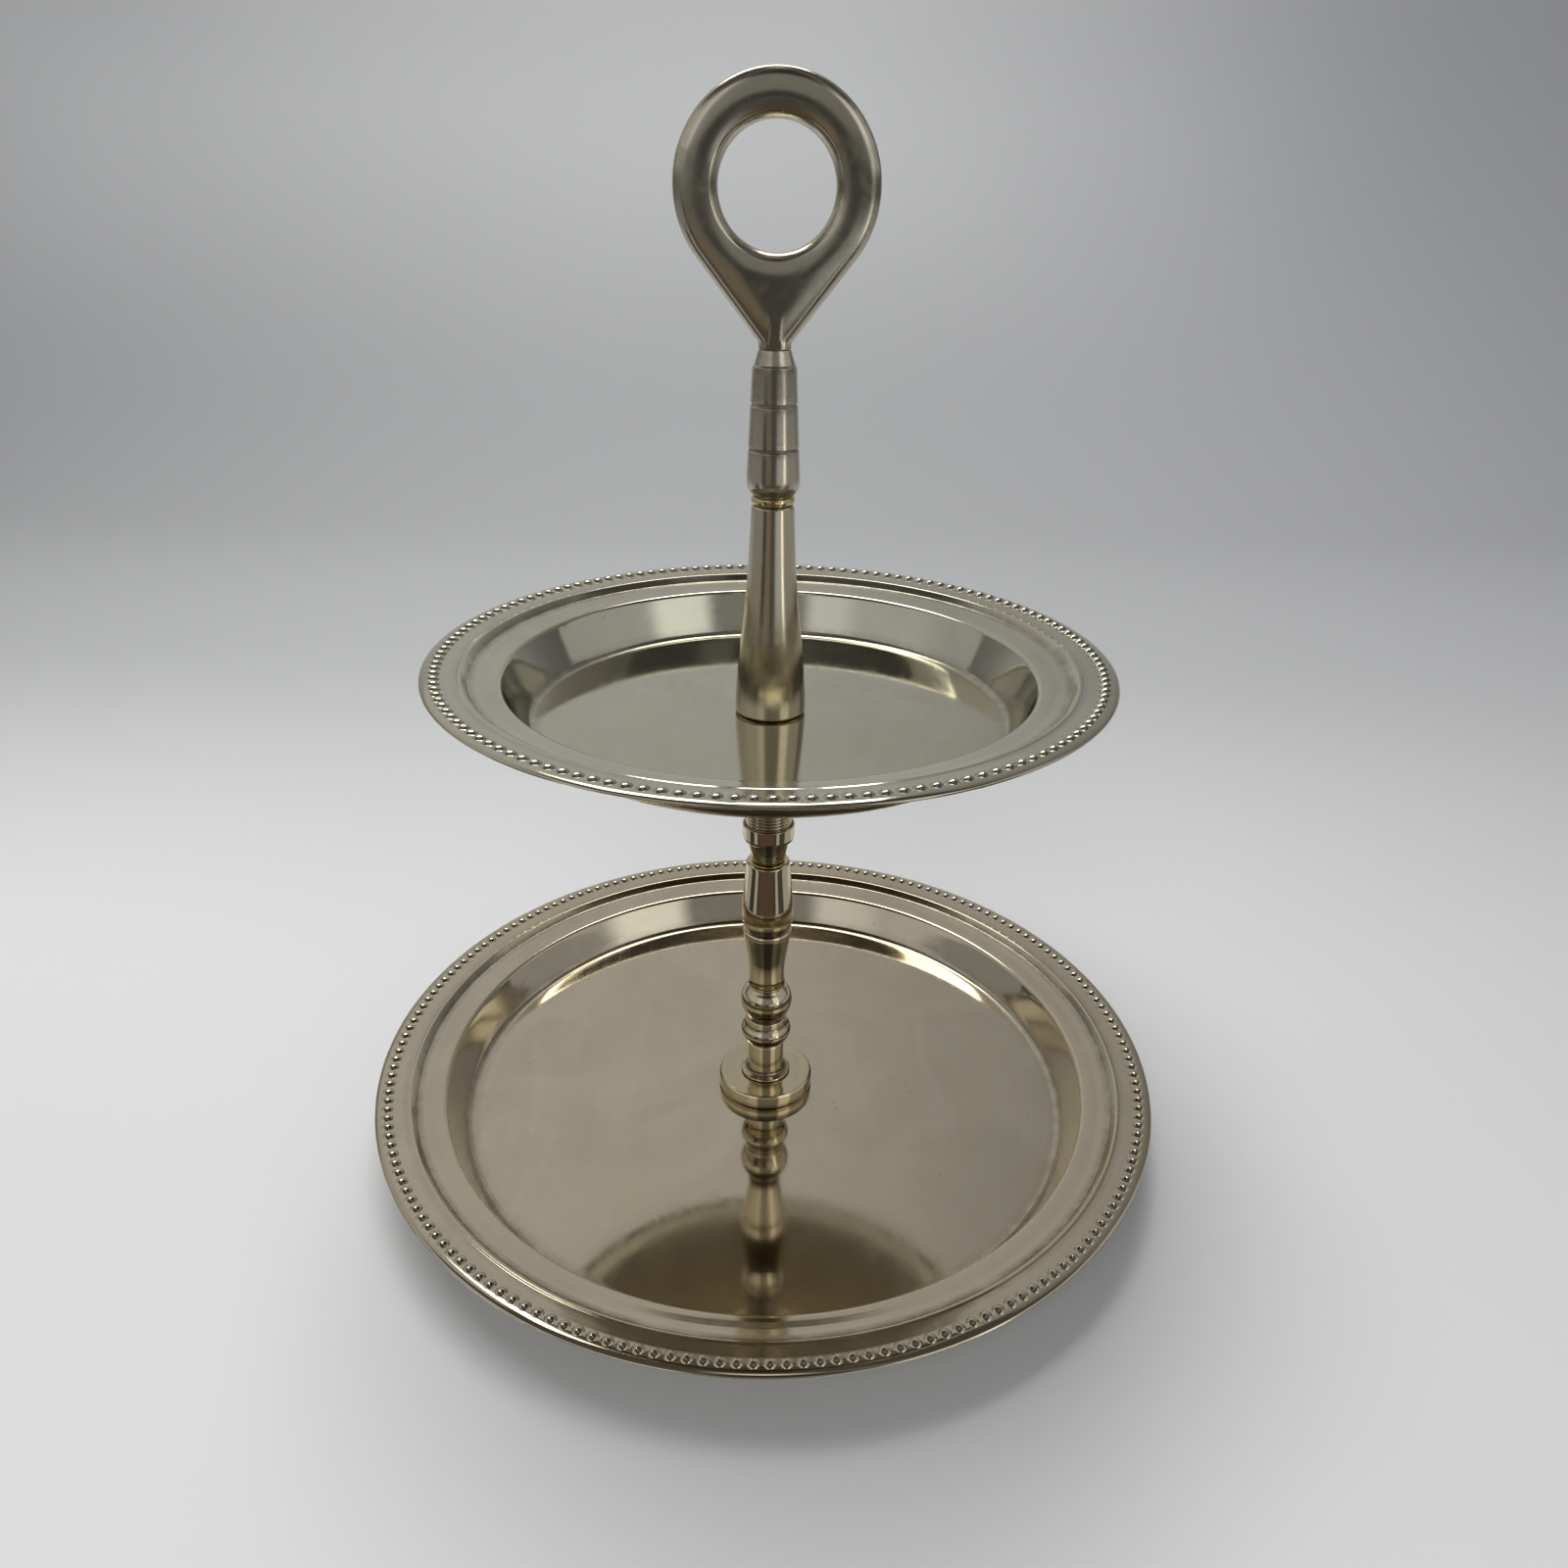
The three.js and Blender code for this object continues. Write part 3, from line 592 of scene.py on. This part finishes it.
bored_piece("round_bead", lambda h: (
    [(6.7, 0, 0.2), (7.0, 0.4, 0.3)]
    + smooth([(7.1, 1.1), (7.9, 2.9), (8.6, 5.0), (8.75, 6.9), (8.35, 9.0), (7.4, 10.7), (6.4, 11.8)])
    + [(5.9, h, 0.2)]))

bored_piece("vase_spacer", lambda h: (
    [(6.0, 0, 0.2), (6.3, 0.4, 0.3)]
    + smooth([(6.25, 1.2), (5.95, 3.2), (5.95, 6.0), (6.2, 9.5), (6.6, 12.4), (7.1, 15.6), (7.6, 18.6),
              (8.0, 21.2)])
    + [(7.95, 22.0, 0.4), (7.5, h, 0.3)]))

bored_piece("baluster", lambda h: (
    [(7.0, 0, 0.2), (7.6, 0.25, 0.3)]
    + smooth([(7.9, 0.9), (8.35, 2.9), (8.5, 5.8), (8.4, 9.3), (7.95, 14.3), (7.55, 18.8), (7.3, 22.0),
              (7.2, 24.2)])
    + [(7.05, 25.0, 0.5), (6.5, h, 0.3)]))

CUP_WELL, CUP_DEPTH = 7.75, 3.0
bored_piece("cup_collar", lambda h: (
    [(5.2, 0, 0.15), (5.4, 0.3, 0.2), (5.5, 1.2)]
    + smooth([(5.6, 1.8), (6.0, 4.2), (6.6, 6.7)])
    + [(6.8, 7.3, 0.5), (7.9, 7.8, 0.8), (8.3, 9.0, 0.8), (8.3, h - 0.3, 0.25), (8.05, h, 0.15),
       (CUP_WELL, h), (CUP_WELL, h - CUP_DEPTH)]), seat=CUP_DEPTH)

RIB_PITCH, RIB_SHOULDER = 1.1, 0.2


def ribbed(h):
    """Fine turned rings all the way up."""
    count = int((h - 1.2) / RIB_PITCH)
    start = (h - count * RIB_PITCH) / 2
    points = [(6.9, 0, 0.2), (7.15, 0.3, 0.1)]
    for k in range(count):
        z = start + k * RIB_PITCH
        points += [(7.12, z, 0.1), (7.4, z + RIB_SHOULDER, 0.16), (7.45, z + RIB_PITCH / 2, 0.5),
                   (7.4, z + RIB_PITCH - RIB_SHOULDER, 0.16)]
    return points + [(7.12, h - start, 0.1), (7.15, h - 0.3, 0.1), (6.9, h, 0.2)]


bored_piece("ribbed_spacer", ribbed, step=30.0, longest=3.0)

bored_piece("tray_support", lambda h: [
    (15.4, 0, 0.3), (16.2, 0.8, 0.5), (16.2, h - 0.7, 0.4), (15.7, h, 0.3)])

bored_piece("tray_washer", lambda h: [
    (12.9, 0, 0.08), (13.0, h / 2, 0.1), (12.9, h, 0.08)], "upper_tray", fibre)

bored_piece("tapered_sleeve", lambda h: (
    [(7.2, 1.0), (7.2, 0.0, 0.1), (9.9, 0.0, 0.3), (10.5, 0.7, 0.5)]
    + smooth([(10.5, 1.2), (10.42, 4.5), (10.15, 9.0), (9.65, 15.0), (9.05, 21.5), (8.5, 26.0), (7.9, 31.5),
              (7.35, 37.5), (6.9, 44.0), (6.6, 49.5), (6.3, 55.0), (6.1, 60.0)])
    + [(6.05, h - 0.5, 0.3), (5.7, h, 0.2)]), "sleeve", sleeve_plate)

bored_piece("collar_ring", lambda h: [
    (5.6, 0, 0.2), (6.1, 0.5, 0.5), (6.15, h / 2, 1.5), (6.1, h - 0.5, 0.5), (5.6, h, 0.2)],
    "sleeve", worn_brass)

GROOVES = (12.6, 24.2)
GRIP_WIDEST, GRIP_SHOULDER = 5.0, 33.9                   # heights between which the grip tapers
GRIP_R, GRIP_TOP_R = 7.4, 5.95
THREAD_BORE = 16.0
TANG_SEAT, TANG_SEAT_DEPTH = 3.15, 12.0


def grip(h):
    """The barrel with its two grooves and domed top, the rod's bore below and the tang's seat above."""
    def side(z):
        return GRIP_R - (GRIP_R - GRIP_TOP_R) * (z - GRIP_WIDEST) / (GRIP_SHOULDER - GRIP_WIDEST)
    points = [(BORE, 0.0), (5.9, 0.0, 0.2), (6.2, 0.25, 0.25)]
    points += smooth([(6.35, 0.6), (6.95, 1.6), (7.3, 2.9), (7.41, 4.4), (side(5.8), 5.8)])
    for z in GROOVES:
        points += [(side(z - 0.75), z - 0.75, 0.2), (side(z) - 0.32, z - 0.3, 0.06),
                   (side(z) - 0.5, z + 0.02, 0.06), (side(z) - 0.42, z + 0.28, 0.06),
                   (side(z + 0.36), z + 0.36, 0.05)]
    top = GRIP_SHOULDER
    points += [(side(top - 0.4), top - 0.4, 0.3), (side(top) - 0.45, top + 0.15, 0.2)]
    points += smooth([(5.3, top + 0.9), (4.85, top + 2.2), (4.55, top + 3.3)])
    points += [(4.3, h, 0.3), (TANG_SEAT, h), (TANG_SEAT, h - TANG_SEAT_DEPTH), (0.0, h - TANG_SEAT_DEPTH)]
    return [(0.0, THREAD_BORE), (BORE, THREAD_BORE)] + fillet(points)


turned_piece("handle_grip", grip, "handle", handle_plate)

# ---------- ring handle ----------

RING_R, HOLE_R = 26.05, 14.8
FLANK = math.radians(38.7)           # the flanks leave the ring at this angle below its middle
NECK = 4.3                           # half the neck's width
ROUND_IN, ROUND_UP = 3.8, 3.1        # the outer edges' rounding, across the face and along the thickness
ROUND_TURN = 74                      # and its turn, in degrees
CROWN, CROWN_REACH = 0.45, 7.0       # the face swells by this much over this distance from the rounding
HOLE_LIP_DROP, HOLE_LIP_REACH = 0.7, 4.5                 # the face slopes down to the lip of the hole
HOLE_LIP_WEAR = 0.8
THROAT = 4.1                         # rounding inside the hole
ROUND_ROWS, FACE_ROWS, THROAT_ROWS = 8, 18, 8
FACE_EASE = 1.35                     # over 1, the face's rows lie closer together towards the hole
TOP_STEPS, FOOT_STEPS = 150, 6
FOOT_BEARING = -86.0                 # the foot's right corner looks at this angle on the hole, in degrees
HANDLE_GAP = 0.2                     # between the grip's top and the casting's foot
TANG_R, TANG_LENGTH, TANG_ROOT, TANG_CHAMFER = 3.0, 10.0, 1.0, 0.5


def ring_contour(drop):
    """The casting's outline about the ring's centre, in four stretches: up the right flank, over the top,
    down the left flank and back along the foot."""
    tangent = (RING_R * math.cos(FLANK), -RING_R * math.sin(FLANK))
    neck_top = tangent[1] - (tangent[0] - NECK) / math.tan(FLANK)
    rising = spaced(fillet([(NECK, -drop), (NECK, neck_top, 5.0), tangent], 3.0), 1.1)[:-1]
    over = arc(0, 0, RING_R, -math.degrees(FLANK), 180 + math.degrees(FLANK), TOP_STEPS)
    falling = [(-x, z) for x, z in reversed(rising)]
    foot = [(-NECK + 2 * NECK * k / FOOT_STEPS, -drop) for k in range(1, FOOT_STEPS)]
    return rising, over, falling, foot


def hole_bearings(rising, over, foot):
    """The direction from the ring's centre that each contour point looks at."""
    start = -math.degrees(FLANK)
    path = np.array(rising + over[:1])
    walked = np.concatenate([[0], np.cumsum(np.linalg.norm(np.diff(path, axis=0), axis=1))])
    right_side = FOOT_BEARING + (start - FOOT_BEARING) * walked[:-1] / walked[-1]
    top = np.linspace(start, 180 - start, len(over))
    below = np.linspace(180 - FOOT_BEARING, 360 + FOOT_BEARING, len(foot) + 2)[1:-1]
    bearings = np.radians(np.concatenate([right_side, top, 180 - right_side[::-1], below]))
    return np.stack([np.cos(bearings), np.sin(bearings)], 1)


def ring_mesh():
    """Half of the casting in rows of points, from the outer edge over the face into the hole, mirrored."""
    lo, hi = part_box("ring_handle")
    thick = (hi.y - lo.y) / MM / 2
    centre_z = hi.z / MM - RING_R
    foot_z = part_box("handle_grip")[1].z / MM + HANDLE_GAP
    rising, over, falling, foot = ring_contour(centre_z - foot_z)
    contour = np.array(rising + over + falling + foot)
    looks = hole_bearings(rising, over, foot)
    along = np.roll(contour, -1, 0) - np.roll(contour, 1, 0)
    along /= np.linalg.norm(along, axis=1)[:, None]
    inward = np.stack([-along[:, 1], along[:, 0]], 1)
    inward[-len(foot):] = 0
    inward[0] = (-1, 0)
    inward[-len(foot) - 1] = (1, 0)

    rows = []
    for k in range(ROUND_ROWS + 1):                      # the outer edge's rounding, up to the face
        a = math.radians(ROUND_TURN * k / ROUND_ROWS)
        inset = ROUND_IN * (1 - math.cos(a))
        loop = contour + inward * inset
        loop[-len(foot):, 0] *= (NECK - inset) / NECK
        rows.append((loop, (thick - CROWN - ROUND_UP) + ROUND_UP * math.sin(a)))
    lip_angle = math.asin((thick - HOLE_LIP_DROP) / THROAT)
    lip_r = HOLE_R + THROAT * (1 - math.cos(lip_angle))
    outer_loop, outer_y = rows[-1]
    for k in range(1, FACE_ROWS + 1):                    # the face, from the rounding to the hole's lip
        s = 1 - (1 - k / FACE_ROWS) ** FACE_EASE
        loop = outer_loop + (looks * lip_r - outer_loop) * s
        reach = np.clip(1 - (np.linalg.norm(loop, axis=1) - lip_r) / HOLE_LIP_REACH, 0, 1)
        swell = np.clip(1 - np.linalg.norm(loop - outer_loop, axis=1) / CROWN_REACH, 0, 1) ** 2
        rows.append((loop, thick - HOLE_LIP_DROP * reach ** 2 - (thick - outer_y) * swell))
    lip_row = len(rows) - 1
    for k in range(1, THROAT_ROWS + 1):                  # into the hole, to its throat at mid-thickness
        a = lip_angle * (1 - k / THROAT_ROWS)
        rows.append((looks * (HOLE_R + THROAT * (1 - math.cos(a))), THROAT * math.sin(a)))

    front = np.zeros((len(rows), len(contour), 3))
    for k, (loop, y) in enumerate(rows):
        front[k, :, 0] = loop[:, 0]
        front[k, :, 1] = -y
        front[k, :, 2] = loop[:, 1] + centre_z
    back = front[::-1] * (1, -1, 1)
    # Both halves share the throat's row, and the loop of rows closes across the casting's outer side.
    whole = np.concatenate([front, back[1:]], 0)
    wear = np.zeros(len(whole))
    wear[[lip_row, -1 - lip_row]] = HOLE_LIP_WEAR
    shell = Shell()
    shell.grid(whole, wrap_u=True, edge=wear)
    tang = [(0.0, -TANG_LENGTH), (TANG_R - TANG_CHAMFER, -TANG_LENGTH), (TANG_R, TANG_CHAMFER - TANG_LENGTH),
            (TANG_R, TANG_ROOT), (0.0, TANG_ROOT)]
    lathe(shell, [(r, z + foot_z) for r, z in tang], 32)
    return shell.build("ring_handle_cast", 40.0)


finish_piece(ring_mesh(), "ring_handle", "handle", handle_plate)

# ---------- tie rod and fasteners ----------

ROD_R, TIP_R = 3.0, 2.35
PITCH, THREAD_DEPTH = 1.0, 0.55
PITCH_STEPS, PLAIN_STEP = 8, 6.0
TOP_THREAD, BOTTOM_THREAD = 23.0, 7.0
RUN_OUT, RUN_OUT_GAP = 1.5, 0.5      # the thread fades over this length, the lower one this far from its end
FLANK_SLOPE, CREST_FLAT = 2.6, 0.15


def rod_mesh():
    lo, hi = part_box("tie_rod")
    bottom, top = lo.z / MM, hi.z / MM
    upper_thread, lower_thread = top - TOP_THREAD, bottom + BOTTOM_THREAD
    fine = PITCH / PITCH_STEPS
    zs = np.concatenate([np.arange(bottom, lower_thread, fine),
                         np.arange(lower_thread, upper_thread, PLAIN_STEP),
                         np.arange(upper_thread, top + TINY, fine)])
    segments = 36
    z, a = np.meshgrid(zs, round_the_axis(segments), indexing="ij")
    phase = (z / PITCH - a / FULL_TURN) % 1.0
    tooth = np.clip(np.abs(phase - 0.5) * FLANK_SLOPE - CREST_FLAT, 0, 1)
    lower_end = lower_thread - RUN_OUT_GAP
    fade = np.clip((z - upper_thread) / RUN_OUT, 0, 1) + np.clip((lower_end - z) / RUN_OUT, 0, 1)
    to_tip = np.minimum(z - bottom, top - z)
    radius = np.minimum(ROD_R - THREAD_DEPTH * tooth * fade, TIP_R + to_tip)
    shell = Shell()
    shell.grid(np.stack([radius * np.cos(a), radius * np.sin(a), z], 2), pole=(0, 0, top))
    shell.close_foot(0, segments, (0, 0, bottom))
    return shell.build("tie_rod_threaded", 30.0)


finish_piece(rod_mesh(), "tie_rod", "stand", fastener_steel)

NUT_HALF_WIDTH, NUT_CHAMFER = 5.0, 0.35
NUT_RIM = [(-0.1, 0.0), (0.15, 0.14), (0.4, 0.30), (0.7, 0.52), (4.0, 0.8)]    # out from the flats, and down


def nut_mesh():
    base, height = base_and_height("rod_nut")
    angles = round_the_axis(120)
    hexagon = NUT_HALF_WIDTH / np.cos(angles % (math.pi / 3) - math.pi / 6)
    rims = [(NUT_HALF_WIDTH + out, z) for out, z in NUT_RIM]
    bore = [(BORE, NUT_CHAMFER), (BORE + NUT_CHAMFER, 0.0)]
    half = bore + rims
    rows = half + [(r, height - z) for r, z in reversed(half)]
    shell = Shell()
    shell.grid(revolve([(r, base + z) for r, z in rows], angles, hexagon), wrap_u=True)
    return shell.build("rod_nut_hex", 20.0)


finish_piece(nut_mesh(), "rod_nut", "stand", fastener_steel)

LOCK_WASHER_R, LOCK_WASHER_CHAMFER = 5.4, 0.15
SPLIT = 7                            # half the split's angle, in degrees


def lock_washer_mesh():
    base, height = base_and_height("lock_washer")
    c, outer = LOCK_WASHER_CHAMFER, LOCK_WASHER_R
    section = [(BORE + c, 0), (outer - c, 0), (outer, c), (outer, height - c), (outer - c, height),
               (BORE + c, height), (BORE, height - c), (BORE, c)]
    n = 80
    angles = np.radians(np.linspace(SPLIT, 360 - SPLIT, n))
    shell = Shell()
    shell.grid(revolve([(r, base + z) for r, z in section], angles), wrap_u=True, wrap_v=False)
    corners = range(len(section))
    shell.faces.append(tuple(k * n for k in corners))
    shell.faces.append(tuple(k * n + n - 1 for k in reversed(corners)))
    return shell.build("lock_washer_split", 20.0)


finish_piece(lock_washer_mesh(), "lock_washer", "stand", fastener_steel)

bored_piece("bottom_washer", lambda h: [
    (8.8, 0, 0.1), (9.0, 0.25, 0.15), (9.0, h - 0.15, 0.1), (8.8, h, 0.1)],
    material=fastener_steel)

# ---------- rubber pads ----------

PAD_HOLLOW, PAD_HOLLOW_R = 0.25, 3.6                     # a shallow hollow under each pad

for number in range(1, 5):
    node = f"foot_pad_{number}"
    lo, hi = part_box(node)
    radius, height = (hi.x - lo.x) / 2 / MM, (hi.z - lo.z) / MM
    profile = fillet([
        (0.0, PAD_HOLLOW), (PAD_HOLLOW_R, PAD_HOLLOW, 0.3), (PAD_HOLLOW_R + 0.4, 0.0, 0.2),
        (radius - 1.5, 0.0, 0.4), (radius - 0.55, 1.2, 1.0), (radius - 0.1, height - 1.0, 0.5),
        (radius, height - 0.5, 0.4), (radius, height, 0.2), (0.0, height)])
    shell = Shell()
    lathe(shell, profile, 56, 1.5)
    pad = shell.build(node + "_rubber")
    pad.data.transform(Matrix.Translation(((lo.x + hi.x) / 2, (lo.y + hi.y) / 2, lo.z)))
    finish_piece(pad, node, "stand", rubber)

# ---------- floor and backdrop ----------

scene.view_settings.view_transform = "Standard"

FLOOR_FRONT, BEND_START, BEND_RADIUS, WALL_HEIGHT, HALF_WIDTH = -3.0, 0.85, 0.55, 2.6, 3.0
BEND_STEPS = 16


def sweep():
    """One pale sheet: floor, a wide bend and the wall, with painted shade behind the stand and to the right.
    """
    line = [(FLOOR_FRONT, 0.0), (-1.0, 0.0), (0.0, 0.0), (BEND_START, 0.0)]
    for k in range(1, BEND_STEPS + 1):
        a = math.radians(90 * k / BEND_STEPS)
        line.append((BEND_START + BEND_RADIUS * math.sin(a), BEND_RADIUS * (1 - math.cos(a))))
    line.append((BEND_START + BEND_RADIUS, WALL_HEIGHT))
    mesh = bpy.data.meshes.new("sweep")
    xs = np.linspace(-HALF_WIDTH, HALF_WIDTH, 9)
    verts = [(x, y, z) for y, z in line for x in xs]
    n = len(xs)
    faces = [(i * n + j, i * n + j + 1, (i + 1) * n + j + 1, (i + 1) * n + j)
             for i in range(len(line) - 1) for j in range(n - 1)]
    mesh.from_pydata(verts, [], faces)
    mesh.shade_smooth()
    obj = bpy.data.objects.new("sweep", mesh)
    scene.collection.objects.link(obj)
    material, t, shader = new_material("backdrop_paper")
    place = t.node("ShaderNodeTexCoord").outputs["Object"]
    where = t.node("ShaderNodeSeparateXYZ", {0: place}).outputs
    soft = t.noise(place, 1.3, 2.0, 0.5)
    fine = t.noise(place, 900.0, 3.0, 0.6)
    tone = t.mix(t.ramp(soft, 0.3, 0.7), rgb(0.60, 0.605, 0.615), rgb(0.64, 0.645, 0.655))
    # painted shade: darker on the low floor and bend behind the stand
    shade = t.math("MULTIPLY", t.ramp(where[1], 0.05, 0.5), t.ramp(where[2], 0.45, 0.05))
    tone = t.mix(shade, tone, rgb(0.42, 0.425, 0.435))
    # painted shade: darker towards the right
    tone = t.mix(t.ramp(where[0], 0.05, 0.9), tone, rgb(0.47, 0.475, 0.49))
    t.put(shader.inputs["Base Color"], tone)
    t.put(shader.inputs["Roughness"], t.ramp(fine, 0.3, 0.7, 0.75, 0.9))
    shader.inputs["Specular IOR Level"].default_value = 0.2
    obj.data.materials.append(material)


sweep()

# ---------- what the metal reflects ----------

# Stops are (place, brightness or colour). Bearings are degrees round the axis: 0 in front, positive right.
WINDOWS = [
    (-180.0, 0.22), (-100.0, 0.22), (-76.0, 0.27), (-46.0, 0.27), (-38.0, 0.36), (-22.0, 0.38),
    (-16.0, 0.13), (30.0, 0.13), (36.0, 0.50), (58.0, 0.52), (66.0, 0.24), (110.0, 0.22), (180.0, 0.22)]
BY_HEIGHT = [(-5.0, 0.22), (7.0, 0.22), (12.0, 1.0), (40.0, 1.0), (49.0, 0.16), (90.0, 0.16)]
ROOM_LEVEL, CEILING_LEVEL = 2.0, 0.9
CEILING_FADE = 82.0, 88.0            # degrees above the horizon
BROWN, PALE, DEEP = (0.085, 0.073, 0.056), (0.20, 0.21, 0.22), (0.105, 0.075, 0.06)
ROOM = [
    (-115.0, 0.11), (-52.0, 0.11), (-46.0, 0.02), (-34.0, 0.02), (-31.0, BROWN), (-10.0, BROWN),
    (-7.0, 0.03), (9.0, 0.03), (19.0, PALE), (40.0, PALE), (44.0, 0.10), (47.0, 0.8), (53.0, 0.8),
    (56.0, 0.13), (115.0, 0.13)]
TABLE_EDGE = [
    (-115.0, 0.42), (-88.0, 0.45), (-85.0, 0.06), (-64.0, 0.05), (-61.0, 0.5), (-50.0, 0.45),
    (-47.0, 0.05), (-38.0, DEEP), (22.0, DEEP), (34.0, 0.05), (37.0, 0.5), (46.0, 0.5), (49.0, 0.07),
    (73.0, 0.08), (77.0, 0.45), (115.0, 0.42)]
HIGH_WALL = [
    (-180.0, 0.47), (-150.0, 0.50), (-125.0, 0.42), (-110.0, 0.35), (110.0, 0.16), (130.0, 0.20),
    (155.0, 0.30), (180.0, 0.47)]
FRONT, REAR = (-112, 112), (112, 248)                    # the spans of bearings that the cards cover


def colour_ramp(t, value, low, high, stops):
    """A colour from the stops, with value running from low to high."""
    made = t.node("ShaderNodeValToRGB", {0: t.ramp(value, low, high, smooth_step=False)})
    row = made.color_ramp.elements
    while len(row) < len(stops):
        row.new(0.5)
    for element, (place, colour) in zip(row, stops):
        element.position = (place - low) / (high - low)
        element.color = rgb(*colour) if isinstance(colour, tuple) else rgb(colour, colour, colour)
    return made.outputs[0]


def by_bearing(t, xyz, stops):
    bearing = t.math("ARCTAN2", xyz[0], t.math("MULTIPLY", xyz[1], -1.0))
    return colour_ramp(t, t.math("MULTIPLY", bearing, 180 / math.pi), -180.0, 180.0, stops)


def world_light():
    """A soft room: windows to the front left and right, dark between them, even behind and bright above."""
    world = bpy.data.worlds.new("room")
    scene.world = world
    world.use_nodes = True
    world.node_tree.nodes.clear()
    t = Tree(world)
    way = t.node("ShaderNodeTexCoord").outputs["Generated"]
    xyz = t.node("ShaderNodeSeparateXYZ", {0: way}).outputs
    windows = by_bearing(t, xyz, WINDOWS)
    height = t.math("MULTIPLY", t.math("ARCSINE", xyz[2]), 180 / math.pi)
    band = colour_ramp(t, height, -5.0, 90.0, BY_HEIGHT)
    above = t.ramp(height, *CEILING_FADE)
    level = t.math("MULTIPLY", t.math("MULTIPLY", windows, band), ROOM_LEVEL)
    level = t.math("ADD", t.math("MULTIPLY", level, t.math("SUBTRACT", 1.0, above)),
                   t.math("MULTIPLY", above, CEILING_LEVEL))
    shader = t.node("ShaderNodeBackground", {"Color": rgb(0.97, 0.985, 1.0), "Strength": level})
    output = t.node("ShaderNodeOutputWorld")
    t.links.new(shader.outputs[0], output.inputs[0])


world_light()


def reflector(name, inner, outer, span, stops, strength=1.0):
    """A curved card, seen only in reflections. It joins two circles, each (radius, height) in metres, over a
    span of bearings."""
    bearings = np.radians(np.linspace(*span, 57))
    verts = [(reach * math.sin(a), -reach * math.cos(a), z) for reach, z in (inner, outer) for a in bearings]
    n = len(bearings)
    mesh = bpy.data.meshes.new(name)
    mesh.from_pydata(verts, [], [(k, k + 1, n + k + 1, n + k) for k in range(n - 1)])
    obj = bpy.data.objects.new(name, mesh)
    scene.collection.objects.link(obj)
    material = bpy.data.materials.new(name)
    material.use_nodes = True
    material.node_tree.nodes.clear()
    t = Tree(material)
    xyz = t.node("ShaderNodeSeparateXYZ", {0: t.node("ShaderNodeTexCoord").outputs["Object"]}).outputs
    glow = t.node("ShaderNodeEmission", {"Color": by_bearing(t, xyz, stops), "Strength": strength})
    t.node("ShaderNodeOutputMaterial", {0: glow})
    mesh.materials.append(material)
    for kind in ("camera", "diffuse", "transmission", "volume_scatter", "shadow"):
        setattr(obj, "visible_" + kind, False)


reflector("room_card", (0.75, 0.002), (0.75, 0.215), FRONT, ROOM, 2.5)
reflector("table_edge_card", (0.155, 0.003), (0.75, 0.003), FRONT, TABLE_EDGE)
reflector("high_wall_card", (1.30, 0.62), (1.30, 2.3), REAR, HIGH_WALL)

# ---------- lamps ----------


def area(name, position, target, size, watts, colour, reflected=True):
    light = bpy.data.lights.new(name, "AREA")
    light.shape = "RECTANGLE"
    light.size, light.size_y = size
    light.energy = watts
    light.color = colour
    obj = bpy.data.objects.new(name, light)
    obj.location = position
    obj.rotation_euler = (Vector(target) - Vector(position)).to_track_quat("-Z", "Y").to_euler()
    obj.visible_glossy = reflected
    scene.collection.objects.link(obj)


STAND = (-0.05, 0.0, 0.05)
area("overhead", (-0.22, 0.24, 1.35), STAND, (1.1, 0.6), 12.0, (1.0, 0.99, 0.97), reflected=False)
area("back_lamp", (-0.15, 0.60, 1.30), STAND, (0.9, 0.42), 5.4, (1.0, 0.99, 0.96))
area("front_fill", (-0.3, -1.5, 1.3), (0, -0.5, 0.0), (0.9, 0.7), 9.5, (1.0, 0.99, 0.98), reflected=False)

# ---------- end ----------

bpy.context.view_layer.update()
